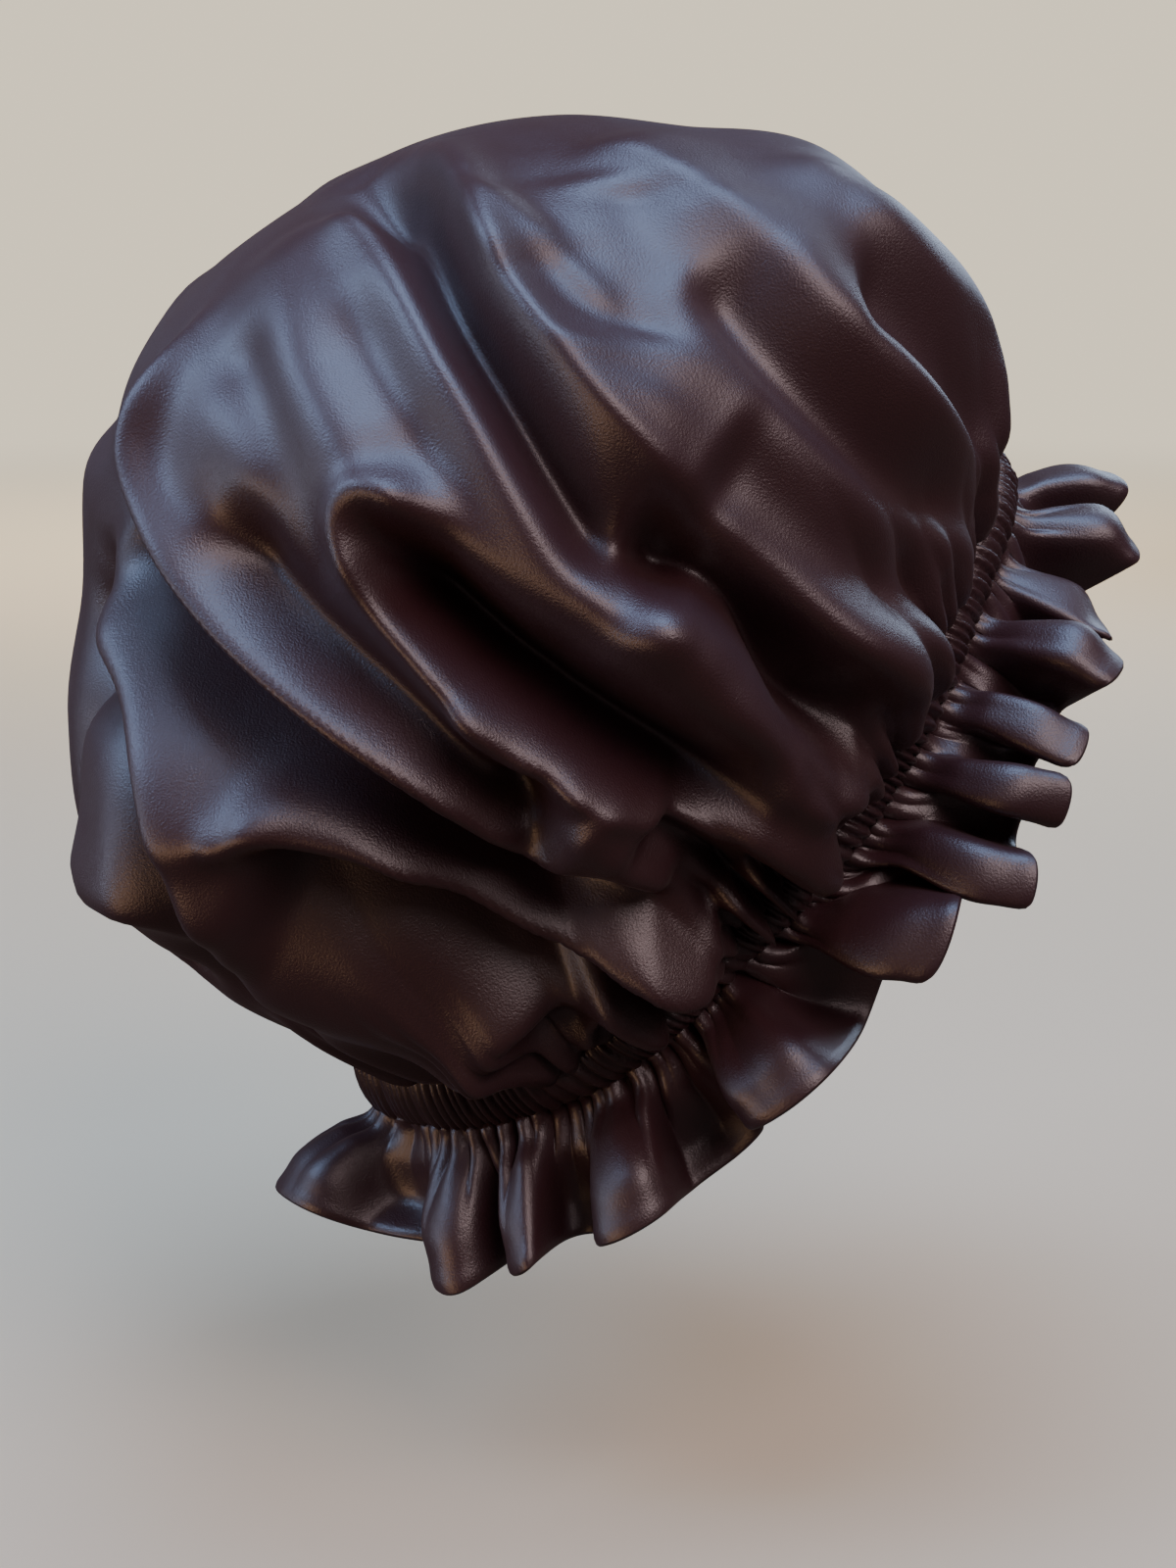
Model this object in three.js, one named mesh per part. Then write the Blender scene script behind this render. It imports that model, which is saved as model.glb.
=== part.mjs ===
import * as THREE from "three";

// Row frame in mm: +Z up, -Y towards the face, +X the wearer's left.
// The origin is the centre of the gathered opening.

// Puffed body: centre, half width across X, roundness of the section across X.
const BODY = { y: 43, z: 50, half: 116, power: 2.15 };

// Side profile of the body: turn in degrees from the back (+Y) up over the top, reach in mm.
const PROFILE = [
  { turn: 0, reach: 113.2 }, { turn: 15, reach: 114.0 }, { turn: 30, reach: 118.4 }, { turn: 45, reach: 117.4 },
  { turn: 60, reach: 116.3 }, { turn: 75, reach: 118.3 }, { turn: 90, reach: 120.0 }, { turn: 105, reach: 122.1 },
  { turn: 120, reach: 130.9 }, { turn: 135, reach: 126.4 }, { turn: 150, reach: 116.4 }, { turn: 165, reach: 106.8 },
  { turn: 180, reach: 102.2 }, { turn: 195, reach: 97.4 }, { turn: 210, reach: 96.1 }, { turn: 225, reach: 98.0 },
  { turn: 240, reach: 103.8 }, { turn: 255, reach: 113.0 }, { turn: 270, reach: 120.0 }, { turn: 285, reach: 122 },
  { turn: 300, reach: 126.5 }, { turn: 315, reach: 132 }, { turn: 330, reach: 137 }, { turn: 345, reach: 126 },
];

// Elastic line, forehead round the right side to the nape; the left side mirrors it.
const OPENING = [
  { x: 0, y: -77, z: 81 }, { x: -30, y: -67.5, z: 74.8 }, { x: -46, y: -57.2, z: 65 }, { x: -58, y: -46.8, z: 52.2 },
  { x: -67, y: -37, z: 37.2 }, { x: -73, y: -26.4, z: 23.2 }, { x: -76, y: -13.1, z: 4.3 }, { x: -76, y: 2.4, z: -12.9 },
  { x: -73, y: 18.3, z: -29.8 }, { x: -67, y: 33.4, z: -47.1 }, { x: -57, y: 50.8, z: -61.9 }, { x: -41, y: 72.6, z: -71.6 },
  { x: -22, y: 84.9, z: -76.6 }, { x: 0, y: 93, z: -79 },
];

// Casing section along the opening: share of the way round, half width along the cloth, half thickness.
const CASING = [
  { round: 0, half: 4.6, thick: 3.6 }, { round: 0.2, half: 5.2, thick: 3.8 }, { round: 0.3, half: 5.2, thick: 3.6 },
  { round: 0.36, half: 6, thick: 3.2 }, { round: 0.42, half: 7.6, thick: 2.8 }, { round: 0.5, half: 7.8, thick: 2.8 },
];

// How far the body takes to reach its full size from the casing, by share of the way round.
const SWELL = [
  { round: 0, reach: 34 }, { round: 0.16, reach: 38 }, { round: 0.24, reach: 22 }, { round: 0.36, reach: 16 }, { round: 0.5, reach: 20 },
];

// Large folds of the body: height, half width right and left of the path, lean over to its right,
// path in degrees of turn and of tilt towards +X.
const FOLDS = [
  { fold: "brow_a", rise: 3.5, half: 9, wide: 12, lean: 0.2, path: [[112.9,-23.7],[118.3,-30.2],[127.0,-29.9],[137.1,-24.3],[146.1,-23.8],[153.2,-26.4],[158.2,-28.2]] },
  { fold: "brow_b", rise: 4.5, half: 7, wide: 13, lean: 0.3, path: [[118.4,-32.7],[128.1,-32.8],[136.0,-30.1],[144.3,-23.0],[150.0,-24.8],[155.7,-27.3],[160.2,-28.6]] },
  { fold: "brow_dip", rise: -9, half: 8, wide: 8, lean: 0, path: [[122.5,-41.8],[129.6,-40.6],[135.9,-39.8],[142.0,-38.4],[149.4,-35.0],[157.0,-27.6]] },
  { fold: "temple_a", rise: 6, half: 8, wide: 20, lean: 0.4, path: [[89.3,-24.6],[94.3,-29.1],[100.8,-34.0],[106.8,-39.4],[113.9,-44.1],[121.1,-46.8],[132.2,-46.4],[143.6,-43.3],[155.3,-31.7],[161.1,-28.8]] },
  { fold: "temple_dip", rise: -12, half: 9, wide: 9, lean: 0, path: [[100.8,-45.9],[106.8,-50.1],[114.4,-54.1],[123.4,-55.8],[131.8,-56.0],[142.2,-54.5],[153.9,-48.8],[163.2,-35.4]] },
  { fold: "temple_b", rise: 5, half: 8, wide: 16, lean: 0.4, path: [[98.8,-46.6],[104.1,-51.7],[111.6,-56.4],[122.5,-58.6],[135.2,-58.4],[149.0,-54.9],[162.0,-45.1],[169.8,-29.8]] },
  { fold: "side_dip_a", rise: -12, half: 9, wide: 12, lean: 0, path: [[103.6,-67.7],[116.7,-69.4],[132.7,-69.9],[149.7,-67.8],[161.8,-62.7],[168.6,-54.7],[172.1,-46.4]] },
  { fold: "side_a", rise: 4.5, half: 7, wide: 12, lean: 0.3, path: [[98.3,-69.1],[119.2,-71.7],[139.9,-71.0],[159.2,-66.1],[172.2,-59.1],[180.3,-48.6]] },
  { fold: "side_b", rise: 8.5, half: 5, wide: 10, lean: 0.4, path: [[72.1,-31.7],[70.8,-41.3],[71.3,-48.7],[73.2,-53.9],[77.1,-59.8],[85.1,-66.3],[98.9,-71.6],[121.4,-74.8],[147.7,-73.9],[171.2,-69.0],[185.1,-61.0],[189.1,-53.5]] },
  { fold: "side_dip_b", rise: -23, half: 9, wide: 9, lean: 0, path: [[76.8,-74.2],[97.0,-77.8],[124.2,-79.0],[150.1,-78.6],[174.1,-76.6],[189.5,-74.0],[198.5,-69.4],[201.0,-60.8]] },
  { fold: "panel_edge", rise: 6, half: 11, wide: 3.4, lean: -0.5, path: [[102.7,-78.6],[130.8,-79.4],[155.8,-79.7],[184.7,-78.9],[202.3,-76.3],[207.7,-72.1],[207.6,-64.8]] },
  { fold: "ear_fold", rise: 6, half: 12, wide: 14, lean: 0, path: [[78.8,-81.1],[117.7,-84.8],[178.2,-83.2],[203.5,-79.2],[212.5,-72.6],[210.9,-64.5]] },
  { fold: "ear_edge", rise: 9, half: 4, wide: 8, lean: 0.25, path: [[32.2,-56.1],[32.0,-59.5],[31.1,-63.1],[28.4,-67.4],[24.4,-71.6],[18.2,-75.7],[10.0,-79.3],[359.1,-82.0],[309.7,-85.6],[248.7,-82.9],[230.1,-76.8],[224.4,-70.5],[221.1,-65.3],[216.0,-60.5],[210.0,-58.3]] },
  { fold: "ear_dip", rise: -29, half: 9, wide: 7, lean: 0, path: [[27.3,-57.6],[23.8,-62.1],[20.3,-66.0],[15.9,-69.7],[10.3,-73.1],[2.8,-76.7],[351.1,-80.0],[325.3,-82.8],[284.0,-83.0],[254.2,-80.0],[238.3,-75.8],[226.4,-69.6]] },
  { fold: "loop_rim", rise: 9, half: 4, wide: 4.2, lean: 0, path: [[35.2,-59.7],[33.7,-56.8],[31.3,-54.2],[27.6,-52.7],[23.0,-53.2],[17.9,-55.8],[12.0,-59.4],[4.7,-63.0],[355.5,-66.7],[343.9,-70.1]] },
  { fold: "loop_edge", rise: 8, half: 3.8, wide: 8, lean: 0.4, path: [[352.9,-67.2],[341.7,-69.9],[325.3,-73.0],[302.7,-75.5],[275.2,-74.9],[252.7,-71.1],[237.6,-64.1],[228.0,-50.0]] },
  { fold: "pouch_a", rise: 6, half: 9, wide: 9, lean: 0, path: [[300.0,-72.5],[286.1,-70.4],[274.3,-66.0],[263.4,-61.2]] },
  { fold: "pouch_dip_a", rise: -9, half: 6, wide: 6, lean: 0, path: [[324.5,-71.0],[311.8,-69.9],[303.3,-67.2],[299.3,-63.3]] },
  { fold: "pouch_dip_b", rise: -14, half: 8, wide: 9, lean: 0, path: [[273.8,-72.1],[260.5,-67.7],[250.8,-62.0],[245.0,-55.4]] },
  { fold: "hook_dip", rise: -14, half: 7, wide: 9, lean: 0, path: [[19.8,-35.5],[13.9,-41.2],[8.5,-46.9],[2.4,-52.7],[355.4,-58.3],[345.0,-63.2],[331.8,-66.0],[316.9,-66.5],[305.5,-65.6]] },
  { fold: "soft_dip", rise: -4, half: 7, wide: 7, lean: 0, path: [[38.8,-25.2],[36.5,-33.2],[32.1,-40.1],[26.1,-45.4],[19.1,-49.8],[13.8,-52.9]] },
  { fold: "thin_ridge", rise: 10, half: 4.2, wide: 4.6, lean: 0.1, path: [[38.0,-18.1],[31.6,-19.9],[26.0,-20.0],[21.0,-21.2],[15.8,-25.4],[10.8,-31.6],[6.4,-36.8],[2.0,-42.5],[357.4,-48.5],[351.1,-54.2],[343.2,-58.7],[332.6,-61.9],[320.7,-63.0],[310.7,-62.7],[304.0,-62.3],[298.5,-62.6],[296.0,-65.1],[298.5,-69.1],[306.8,-73.2]] },
  { fold: "long_dip", rise: -30, half: 13, wide: 7, lean: 0, path: [[16.4,-11.4],[12.1,-18.3],[7.6,-24.1],[3.0,-29.6],[358.0,-35.5],[352.9,-41.3],[346.5,-47.0],[338.8,-52.3],[328.7,-56.5],[316.3,-58.3],[302.0,-59.0],[282.9,-59.7],[265.4,-58.6]] },
  { fold: "long_ridge", rise: 11.5, half: 4.2, wide: 6, lean: 0.2, path: [[337.6,-39.6],[338.4,-42.7],[337.6,-46.2],[334.2,-49.4],[328.7,-52.1],[320.6,-53.6],[312.2,-54.0],[303.0,-54.0],[293.4,-53.4],[281.4,-53.2],[269.5,-52.8],[256.7,-50.2],[246.4,-46.9]] },
  { fold: "twin_ridge", rise: 5, half: 3.5, wide: 4, lean: 0, path: [[334.9,-36.6],[335.5,-39.9],[334.1,-43.7],[331.1,-47.1],[326.7,-50.0],[320.3,-52.4],[312.6,-53.3]] },
  { fold: "under_dip", rise: -27, half: 17, wide: 6, lean: 0, path: [[330.5,-38.5],[327.7,-40.9],[323.7,-43.5],[318.8,-45.9],[312.9,-48.1],[306.5,-49.2],[299.5,-49.5],[291.7,-49.5],[283.2,-49.2],[272.8,-48.1]] },
  { fold: "nape_roll", rise: 3, half: 10, wide: 10, lean: 0, path: [[317.0,-26.3],[309.5,-27.8],[302.2,-31.8],[294.6,-36.0],[286.4,-39.7],[281.1,-41.3]] },
  { fold: "nape_pouch", rise: 9, half: 7, wide: 7, lean: 0, path: [[286.6,-24.9],[288.1,-35.5],[285.4,-40.8],[279.6,-43.4],[273.5,-42.0],[267.6,-35.0]] },
  { fold: "pouch_dip", rise: -9, half: 6, wide: 6, lean: 0, path: [[283.2,-35.4],[279.2,-38.2],[274.0,-37.6]] },
  { fold: "near_lobe", rise: 9, half: 8, wide: 9, lean: 0, path: [[3.9,-8.1],[357.5,-17.9],[351.7,-26.0],[345.9,-30.3],[339.8,-32.1],[334.0,-32.6],[328.2,-32.2],[322.6,-31.5]] },
  { fold: "near_behind", rise: -13, half: 8, wide: 6, lean: 0, path: [[2.5,2.0],[356.0,4.8],[353.0,-13.5],[349.1,-20.9],[344.6,-24.4],[339.9,-26.2],[335.0,-27.0],[329.8,-26.5],[324.5,-24.9],[319.2,-22.0],[313.7,-20.4],[308.1,-21.9]] },
  { fold: "far_fold", rise: 7, half: 4.2, wide: 10, lean: 0.3, path: [[334.9,-3.4],[332.4,-4.5],[331.8,-18.0],[329.0,-22.0],[325.0,-22.9],[320.6,-21.9]] },
  { fold: "far_dip", rise: -9, half: 5, wide: 5, lean: 0, path: [[331.9,-5.4],[328.4,-7.9],[324.7,-10.2],[320.9,-11.9],[317.1,-12.7]] },
  { fold: "back_broad", rise: 3, half: 12, wide: 12, lean: 0, path: [[53.5,-16.6],[44.6,-31.8],[39.9,-38.5],[37.3,-46.1],[34.3,-51.8]] },
  { fold: "long_slot", rise: -17, half: 6.5, wide: 6.5, lean: 0, path: [[64.8,-6.7],[65.2,-20.7],[65.5,-30.3],[64.9,-38.1],[63.8,-45.6],[63.5,-52.5],[63.5,-58.8],[63.3,-64.7],[63.8,-70.5],[64.0,-75.1],[65.2,-79.7]] },
  { fold: "slot_left", rise: 7, half: 7, wide: 9, lean: 0, path: [[55.8,-22.0],[60.7,-25.5],[61.7,-32.5],[59.1,-42.2],[57.3,-49.8],[55.6,-57.9],[52.6,-66.0],[49.7,-73.0],[47.5,-79.0],[53.0,-84.4],[128.8,-87.0]] },
  { fold: "slot_right", rise: 8, half: 6, wide: 6, lean: 0, path: [[73.6,-13.3],[72.1,-27.3],[70.2,-38.6],[69.0,-46.5],[69.2,-53.8],[70.2,-60.0],[72.0,-65.8],[72.4,-70.2],[70.2,-74.7],[71.4,-79.1],[84.8,-84.1],[128.4,-86.1]] },
  { fold: "slot_dip", rise: -5, half: 8, wide: 8, lean: 0, path: [[51.8,-33.9],[48.0,-46.1],[45.5,-54.1],[42.2,-61.4],[36.7,-69.0],[26.4,-76.6],[2.1,-82.5]] },
  { fold: "crown_crease", rise: 2, half: 3, wide: 3, lean: 0, path: [[74.0,-34.2],[76.9,-40.5],[81.5,-47.2],[85.3,-51.9]] },
  { fold: "crown_a", rise: 3, half: 11, wide: 11, lean: 0, path: [[87.6,-31.6],[87.6,-41.7],[86.1,-50.8],[81.8,-55.1],[79.1,-58.1]] },
  { fold: "crown_dip", rise: -4, half: 10, wide: 10, lean: 0, path: [[91.9,-34.7],[91.7,-43.3],[90.5,-51.0],[87.6,-55.5]] },
  { fold: "crown_b", rise: 3, half: 13, wide: 13, lean: 0, path: [[97.0,-35.1],[97.2,-44.3],[97.2,-53.1],[95.4,-60.9],[89.2,-65.2]] },
  { fold: "crown_c", rise: -3.5, half: 11, wide: 11, lean: 0, path: [[75.1,-44.4],[77.3,-49.6],[79.5,-53.6],[79.3,-55.9]] },
  { fold: "left_lobe", rise: 11, half: 24, wide: 24, lean: 0, path: [[24,16],[5,20],[345,24],[325,26],[308,24]] },
  { fold: "left_lobe_dip", rise: -8.8, half: 8, wide: 8, lean: 0, path: [[10,-2],[352,1],[335,0],[318,-2],[302,-6]] },
  { fold: "left_brow", rise: 4, half: 4.8, wide: 14.4, lean: 0.8, path: [[96,12],[108,20],[124,27],[140,27],[157,19]] },
  { fold: "left_brow_dip", rise: -6.2, half: 8, wide: 8, lean: 0, path: [[104,30],[120,36],[138,37],[156,30]] },
  { fold: "left_temple", rise: 6, half: 4.8, wide: 14.4, lean: 0.8, path: [[86,20],[92,32],[106,43],[126,48],[146,46],[163,36]] },
  { fold: "left_temple_dip", rise: -12.5, half: 10, wide: 10, lean: 0, path: [[92,48],[108,56],[130,59],[152,55],[170,44]] },
  { fold: "left_side", rise: 8, half: 5.4, wide: 16.2, lean: 0.8, path: [[70,30],[76,46],[88,58],[112,67],[140,67],[166,60],[182,50]] },
  { fold: "left_side_dip", rise: -16.2, half: 12, wide: 12, lean: 0, path: [[70,56],[84,68],[116,77],[156,76],[186,66],[196,56]] },
  { fold: "left_ear", rise: 8, half: 6, wide: 18, lean: 0.8, path: [[50,34],[52,52],[56,68],[80,84],[190,82],[208,70],[212,60]] },
  { fold: "left_ear_dip", rise: -16.2, half: 11, wide: 11, lean: 0, path: [[36,46],[32,60],[20,74],[300,84],[238,76],[228,62]] },
  { fold: "left_low", rise: 9, half: 16.2, wide: 5.4, lean: -0.8, path: [[28,30],[20,44],[8,58],[342,70],[296,74],[254,66],[240,54]] },
  { fold: "left_low_dip", rise: -15, half: 12, wide: 12, lean: 0, path: [[6,40],[352,52],[330,60],[300,62],[268,56],[256,46]] },
  { fold: "left_nape", rise: 9, half: 14.4, wide: 4.8, lean: -0.8, path: [[342,38],[326,48],[306,52],[284,50],[264,42]] },
  { fold: "left_nape_dip", rise: -11.2, half: 9, wide: 9, lean: 0, path: [[322,34],[308,40],[292,42],[276,36]] },
  { fold: "left_top", rise: 2, half: 10, wide: 10, lean: 0, path: [[62,6],[66,18],[68,32],[64,46]] },
  { fold: "left_back", rise: 2.5, half: 11, wide: 11, lean: 0, path: [[44,8],[36,22],[30,36],[24,50]] },
];

// Ruffle crests from the forehead round the right side: way the cloth leaves the casing, length and swing.
const CRESTS = [
  { round: 0, x: 0.10, y: -0.95, z: -0.20, long: 36, swing: 9 },
  { round: 0.045, x: -0.05, y: -0.84, z: -0.54, long: 36, swing: 15 },
  { round: 0.085, x: -0.16, y: -0.72, z: -0.68, long: 34, swing: 9 },
  { round: 0.122, x: -0.41, y: -0.78, z: -0.48, long: 36, swing: 15 },
  { round: 0.158, x: -0.38, y: -0.87, z: -0.30, long: 35, swing: 8 },
  { round: 0.188, x: -0.43, y: -0.86, z: -0.27, long: 38, swing: 11 },
  { round: 0.222, x: -0.42, y: -0.90, z: -0.06, long: 43, swing: 12 },
  { round: 0.262, x: -0.45, y: -0.89, z: 0.01, long: 39, swing: 15 },
  { round: 0.309, x: -0.53, y: -0.58, z: -0.62, long: 35, swing: 16 },
  { round: 0.366, x: -0.49, y: -0.11, z: -0.86, long: 40, swing: 13 },
  { round: 0.409, x: -0.39, y: -0.05, z: -0.92, long: 39, swing: 9 },
  { round: 0.438, x: -0.34, y: -0.09, z: -0.94, long: 40, swing: 10 },
  { round: 0.5, x: -0.05, y: 0.53, z: -0.85, long: 34, swing: 12 },
];
// The left side: shift of each mirrored crest, and its length and swing as shares of the right one.
const LEFT = [
  { row: 1, shift: 0.004, long: 1.02, swing: 0.9 }, { row: 2, shift: -0.006, long: 0.97, swing: 1.1 }, { row: 3, shift: 0.008, long: 0.96, swing: 0.85 },
  { row: 4, shift: -0.004, long: 0.98, swing: 1.3 }, { row: 5, shift: 0.004, long: 1.0, swing: 1.2 }, { row: 6, shift: 0.008, long: 0.96, swing: 0.85 },
  { row: 7, shift: -0.004, long: 1.02, swing: 0.95 }, { row: 8, shift: 0.004, long: 0.97, swing: 0.85 }, { row: 9, shift: -0.005, long: 1.02, swing: 1.0 },
  { row: 10, shift: 0.003, long: 0.99, swing: 1.2 }, { row: 11, shift: 0.005, long: 0.98, swing: 1.2 },
];

const CROWN_COLS = 60, CROWN_RINGS = 19, CROWN_WALL = 1.2;
const RUFFLE_COLS = 264, RUFFLE_ROWS = 3, RUFFLE_WALL = 1.1;
const CASING_COLS = 84, CASING_SIDES = 6;
const GAP = 0.8;
// How far the casing stands up towards the vertical at the nape.
const UPRIGHT = 0.5;
// Share by which the cloth between two crests falls short of them.
const VALLEY = 0.2;
// Folds narrower than the solid's facets are widened by this much and lowered to match.
const SOFTEN = 12;

const rad = (a) => (a * Math.PI) / 180;
const add = (a, b, k = 1) => [a[0] + b[0] * k, a[1] + b[1] * k, a[2] + b[2] * k];
const dot = (a, b) => a[0] * b[0] + a[1] * b[1] + a[2] * b[2];
const len = (a) => Math.hypot(a[0], a[1], a[2]);
const unit = (a) => { const l = len(a); return [a[0] / l, a[1] / l, a[2] / l]; };
const cross = (a, b) => [a[1] * b[2] - a[2] * b[1], a[2] * b[0] - a[0] * b[2], a[0] * b[1] - a[1] * b[0]];
const smooth = (a, b, x) => { const t = Math.min(1, Math.max(0, (x - a) / (b - a))); return t * t * (3 - 2 * t); };
const cubic = (p, q, r, s, f) => 0.5 * (2 * q + (r - p) * f + (2 * p - 5 * q + 4 * r - s) * f * f + (3 * q - p - 3 * r + s) * f * f * f);

const CENTRE = [0, BODY.y, BODY.z];
const APEX = unit([0, BODY.y, BODY.z]);

function reach(dir) {
  const n = PROFILE.length;
  const t = ((Math.atan2(dir[2], dir[1]) / (2 * Math.PI)) * n + n) % n;
  const i = Math.floor(t);
  const r = cubic(...[-1, 0, 1, 2].map((k) => PROFILE[(i + k + n) % n].reach), t - i);
  const q = Math.hypot(dir[1], dir[2]);
  return Math.pow(Math.pow(Math.abs(dir[0]) / BODY.half, BODY.power) + Math.pow(q / r, BODY.power), -1 / BODY.power);
}

function heading(turn, tilt) {
  const a = rad(turn), b = rad(tilt);
  return [Math.sin(b), Math.cos(b) * Math.cos(a), Math.cos(b) * Math.sin(a)];
}

// Opening as a closed curve, walked by share of its length.
const RING = (() => {
  const half = OPENING.map((r) => [r.x, r.y, r.z]);
  const back = half.slice(1, -1).reverse().map((p) => [-p[0], p[1], p[2]]);
  const pts = half.concat(back), n = pts.length, out = [];
  for (let i = 0; i < n; i++)
    for (let k = 0; k < 16; k++)
      out.push([0, 1, 2].map((c) => cubic(pts[(i + n - 1) % n][c], pts[i][c], pts[(i + 1) % n][c], pts[(i + 2) % n][c], k / 16)));
  const at = [0];
  for (let i = 0; i < out.length; i++) at.push(at[i] + len(add(out[(i + 1) % out.length], out[i], -1)));
  return { pts: out, at, total: at[out.length] };
})();

function pick(rows, key, round) {
  const x = Math.min(round, 1 - round);
  let i = 0;
  while (i < rows.length - 2 && rows[i + 1].round < x) i++;
  const f = smooth(rows[i].round, rows[i + 1].round, x);
  return rows[i][key] * (1 - f) + rows[i + 1][key] * f;
}

function station(round) {
  const u = ((round % 1) + 1) % 1, x = u * RING.total;
  let i = 0;
  while (RING.at[i + 1] <= x) i++;
  const n = RING.pts.length, a = RING.pts[i], b = RING.pts[(i + 1) % n];
  const f = (x - RING.at[i]) / (RING.at[i + 1] - RING.at[i]);
  const tA = unit(add(b, RING.pts[(i + n - 1) % n], -1)), tB = unit(add(RING.pts[(i + 2) % n], a, -1));
  const p = add(a, add(b, a, -1), f), t = unit(add(tA.map((v) => v * (1 - f)), tB, f));
  const o = add(unit(p).map((v) => v * 0.75), unit(add(p, CENTRE, -1)), 0.25);
  o[2] += UPRIGHT * smooth(0.34, 0.46, Math.min(u, 1 - u));
  const out = unit(add(o, t, -dot(o, t)));
  let away = cross(t, out);
  if (dot(away, APEX) > 0) away = away.map((v) => -v);
  return { u, p, t, out, away, half: pick(CASING, "half", u), thick: pick(CASING, "thick", u) };
}

// Folds: each path is resampled on the body with its own side direction.
const STROKES = FOLDS.map((fold) => {
  const half = Math.hypot(fold.half, SOFTEN), wide = Math.hypot(fold.wide, SOFTEN);
  const row = { ...fold, rise: (fold.rise * (fold.half + fold.wide)) / (half + wide), half, wide };
  const d = row.path.map(([a, b]) => heading(a, b)), line = [];
  for (let i = 0; i < d.length - 1; i++)
    for (let k = 0; k < 5 || (i === d.length - 2 && k < 6); k++)
      line.push(unit([0, 1, 2].map((c) => cubic(d[Math.max(0, i - 1)][c], d[i][c], d[i + 1][c], d[Math.min(d.length - 1, i + 2)][c], k / 5))));
  const at = line.map((q) => add(CENTRE, q, reach(q)));
  const side = at.map((p, i) => unit(cross(add(at[Math.min(i + 1, at.length - 1)], at[Math.max(0, i - 1)], -1), line[i])));
  return { ...row, at, side };
});

// Push of the folds at a point: outward and sideways in mm.
function folds(p, dir) {
  let lift = 0, slide = [0, 0, 0];
  for (const s of STROKES) {
    let best = 1e9, j = 0;
    for (let i = 0; i < s.at.length; i++) {
      const d = len(add(p, s.at[i], -1));
      if (d < best) { best = d; j = i; }
    }
    const most = Math.max(s.half, s.wide);
    if (best > most * 3.2) continue;
    const right = Math.max(-1, Math.min(1, dot(add(p, s.at[j], -1), s.side[j]) / (0.6 * Math.min(s.half, s.wide))));
    const w = (s.half + s.wide) / 2 + ((s.half - s.wide) / 2) * right;
    const along = j / (s.at.length - 1);
    const h = s.rise * Math.exp(-0.69 * (best / w) ** 2) * smooth(-0.05, 0.12, along) * smooth(1.1, 0.85, along);
    lift += h;
    slide = add(slide, s.side[j], Math.max(h, 0) * s.lean * 0.45);
  }
  return { lift, slide };
}

// Body surface: round in shares of the opening, up from the casing (0) to the crest (1).
function crownPoint(st, up) {
  const e = add(add(st.p, st.away, -(st.half + GAP)), CENTRE, -1), edge = unit(e), far = len(e);
  const ang = Math.acos(Math.max(-1, Math.min(1, dot(edge, APEX))));
  const dir = up >= 1 ? APEX : unit(add(edge.map((v) => v * Math.sin((1 - up) * ang)), APEX, Math.sin(up * ang)));
  const run = up * ang * 118, base = reach(dir);
  const p = add(CENTRE, dir, base), f = folds(p, dir);
  const puff = 3 * Math.exp(-((run / 55) ** 2)), soft = smooth(0, 14, run);
  const k = Math.sqrt(Math.max(0, 1 - (1 - Math.min(1, run / pick(SWELL, "reach", st.u))) ** 2));
  const r = far + (base + puff - far) * k + f.lift * soft;
  return add(add(CENTRE, dir, r), f.slide, soft);
}

function mesh(name, pos, idx, colour) {
  const g = new THREE.BufferGeometry();
  g.setAttribute("position", new THREE.Float32BufferAttribute(pos.flat(), 3));
  g.setIndex(idx);
  g.computeVertexNormals();
  const m = new THREE.Mesh(g, new THREE.MeshStandardMaterial({ color: colour, roughness: 0.42, metalness: 0 }));
  m.name = name;
  return m;
}

// Closed shell between an outer and an inner grid of rows x cols, wrapped round; tip closes the top row.
function shell(outer, inner, cols, tips) {
  const rows = outer.length, pos = outer.flat().concat(inner.flat()), idx = [], off = rows * cols;
  const quad = (a, b, c, d) => idx.push(a, b, c, a, c, d);
  for (let r = 0; r < rows - 1; r++)
    for (let c = 0; c < cols; c++) {
      const n = (c + 1) % cols, a = r * cols + c, b = r * cols + n;
      quad(a, b, b + cols, a + cols);
      quad(off + b, off + a, off + a + cols, off + b + cols);
    }
  for (let c = 0; c < cols; c++) {
    const n = (c + 1) % cols;
    quad(n, c, off + c, off + n);
    const a = (rows - 1) * cols + c, b = (rows - 1) * cols + n;
    if (!tips) quad(a, b, off + b, off + a);
    else { idx.push(a, b, pos.length); idx.push(off + b, off + a, pos.length + 1); }
  }
  if (tips) pos.push(tips[0], tips[1]);
  return { pos, idx };
}

function gridNormals(grid, cols) {
  return grid.map((row, r) => row.map((p, c) => {
    const du = add(row[(c + 1) % cols], row[(c + cols - 1) % cols], -1);
    const dv = add(grid[Math.min(r + 1, grid.length - 1)][c], grid[Math.max(r - 1, 0)][c], -1);
    return unit(cross(du, dv));
  }));
}

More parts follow.
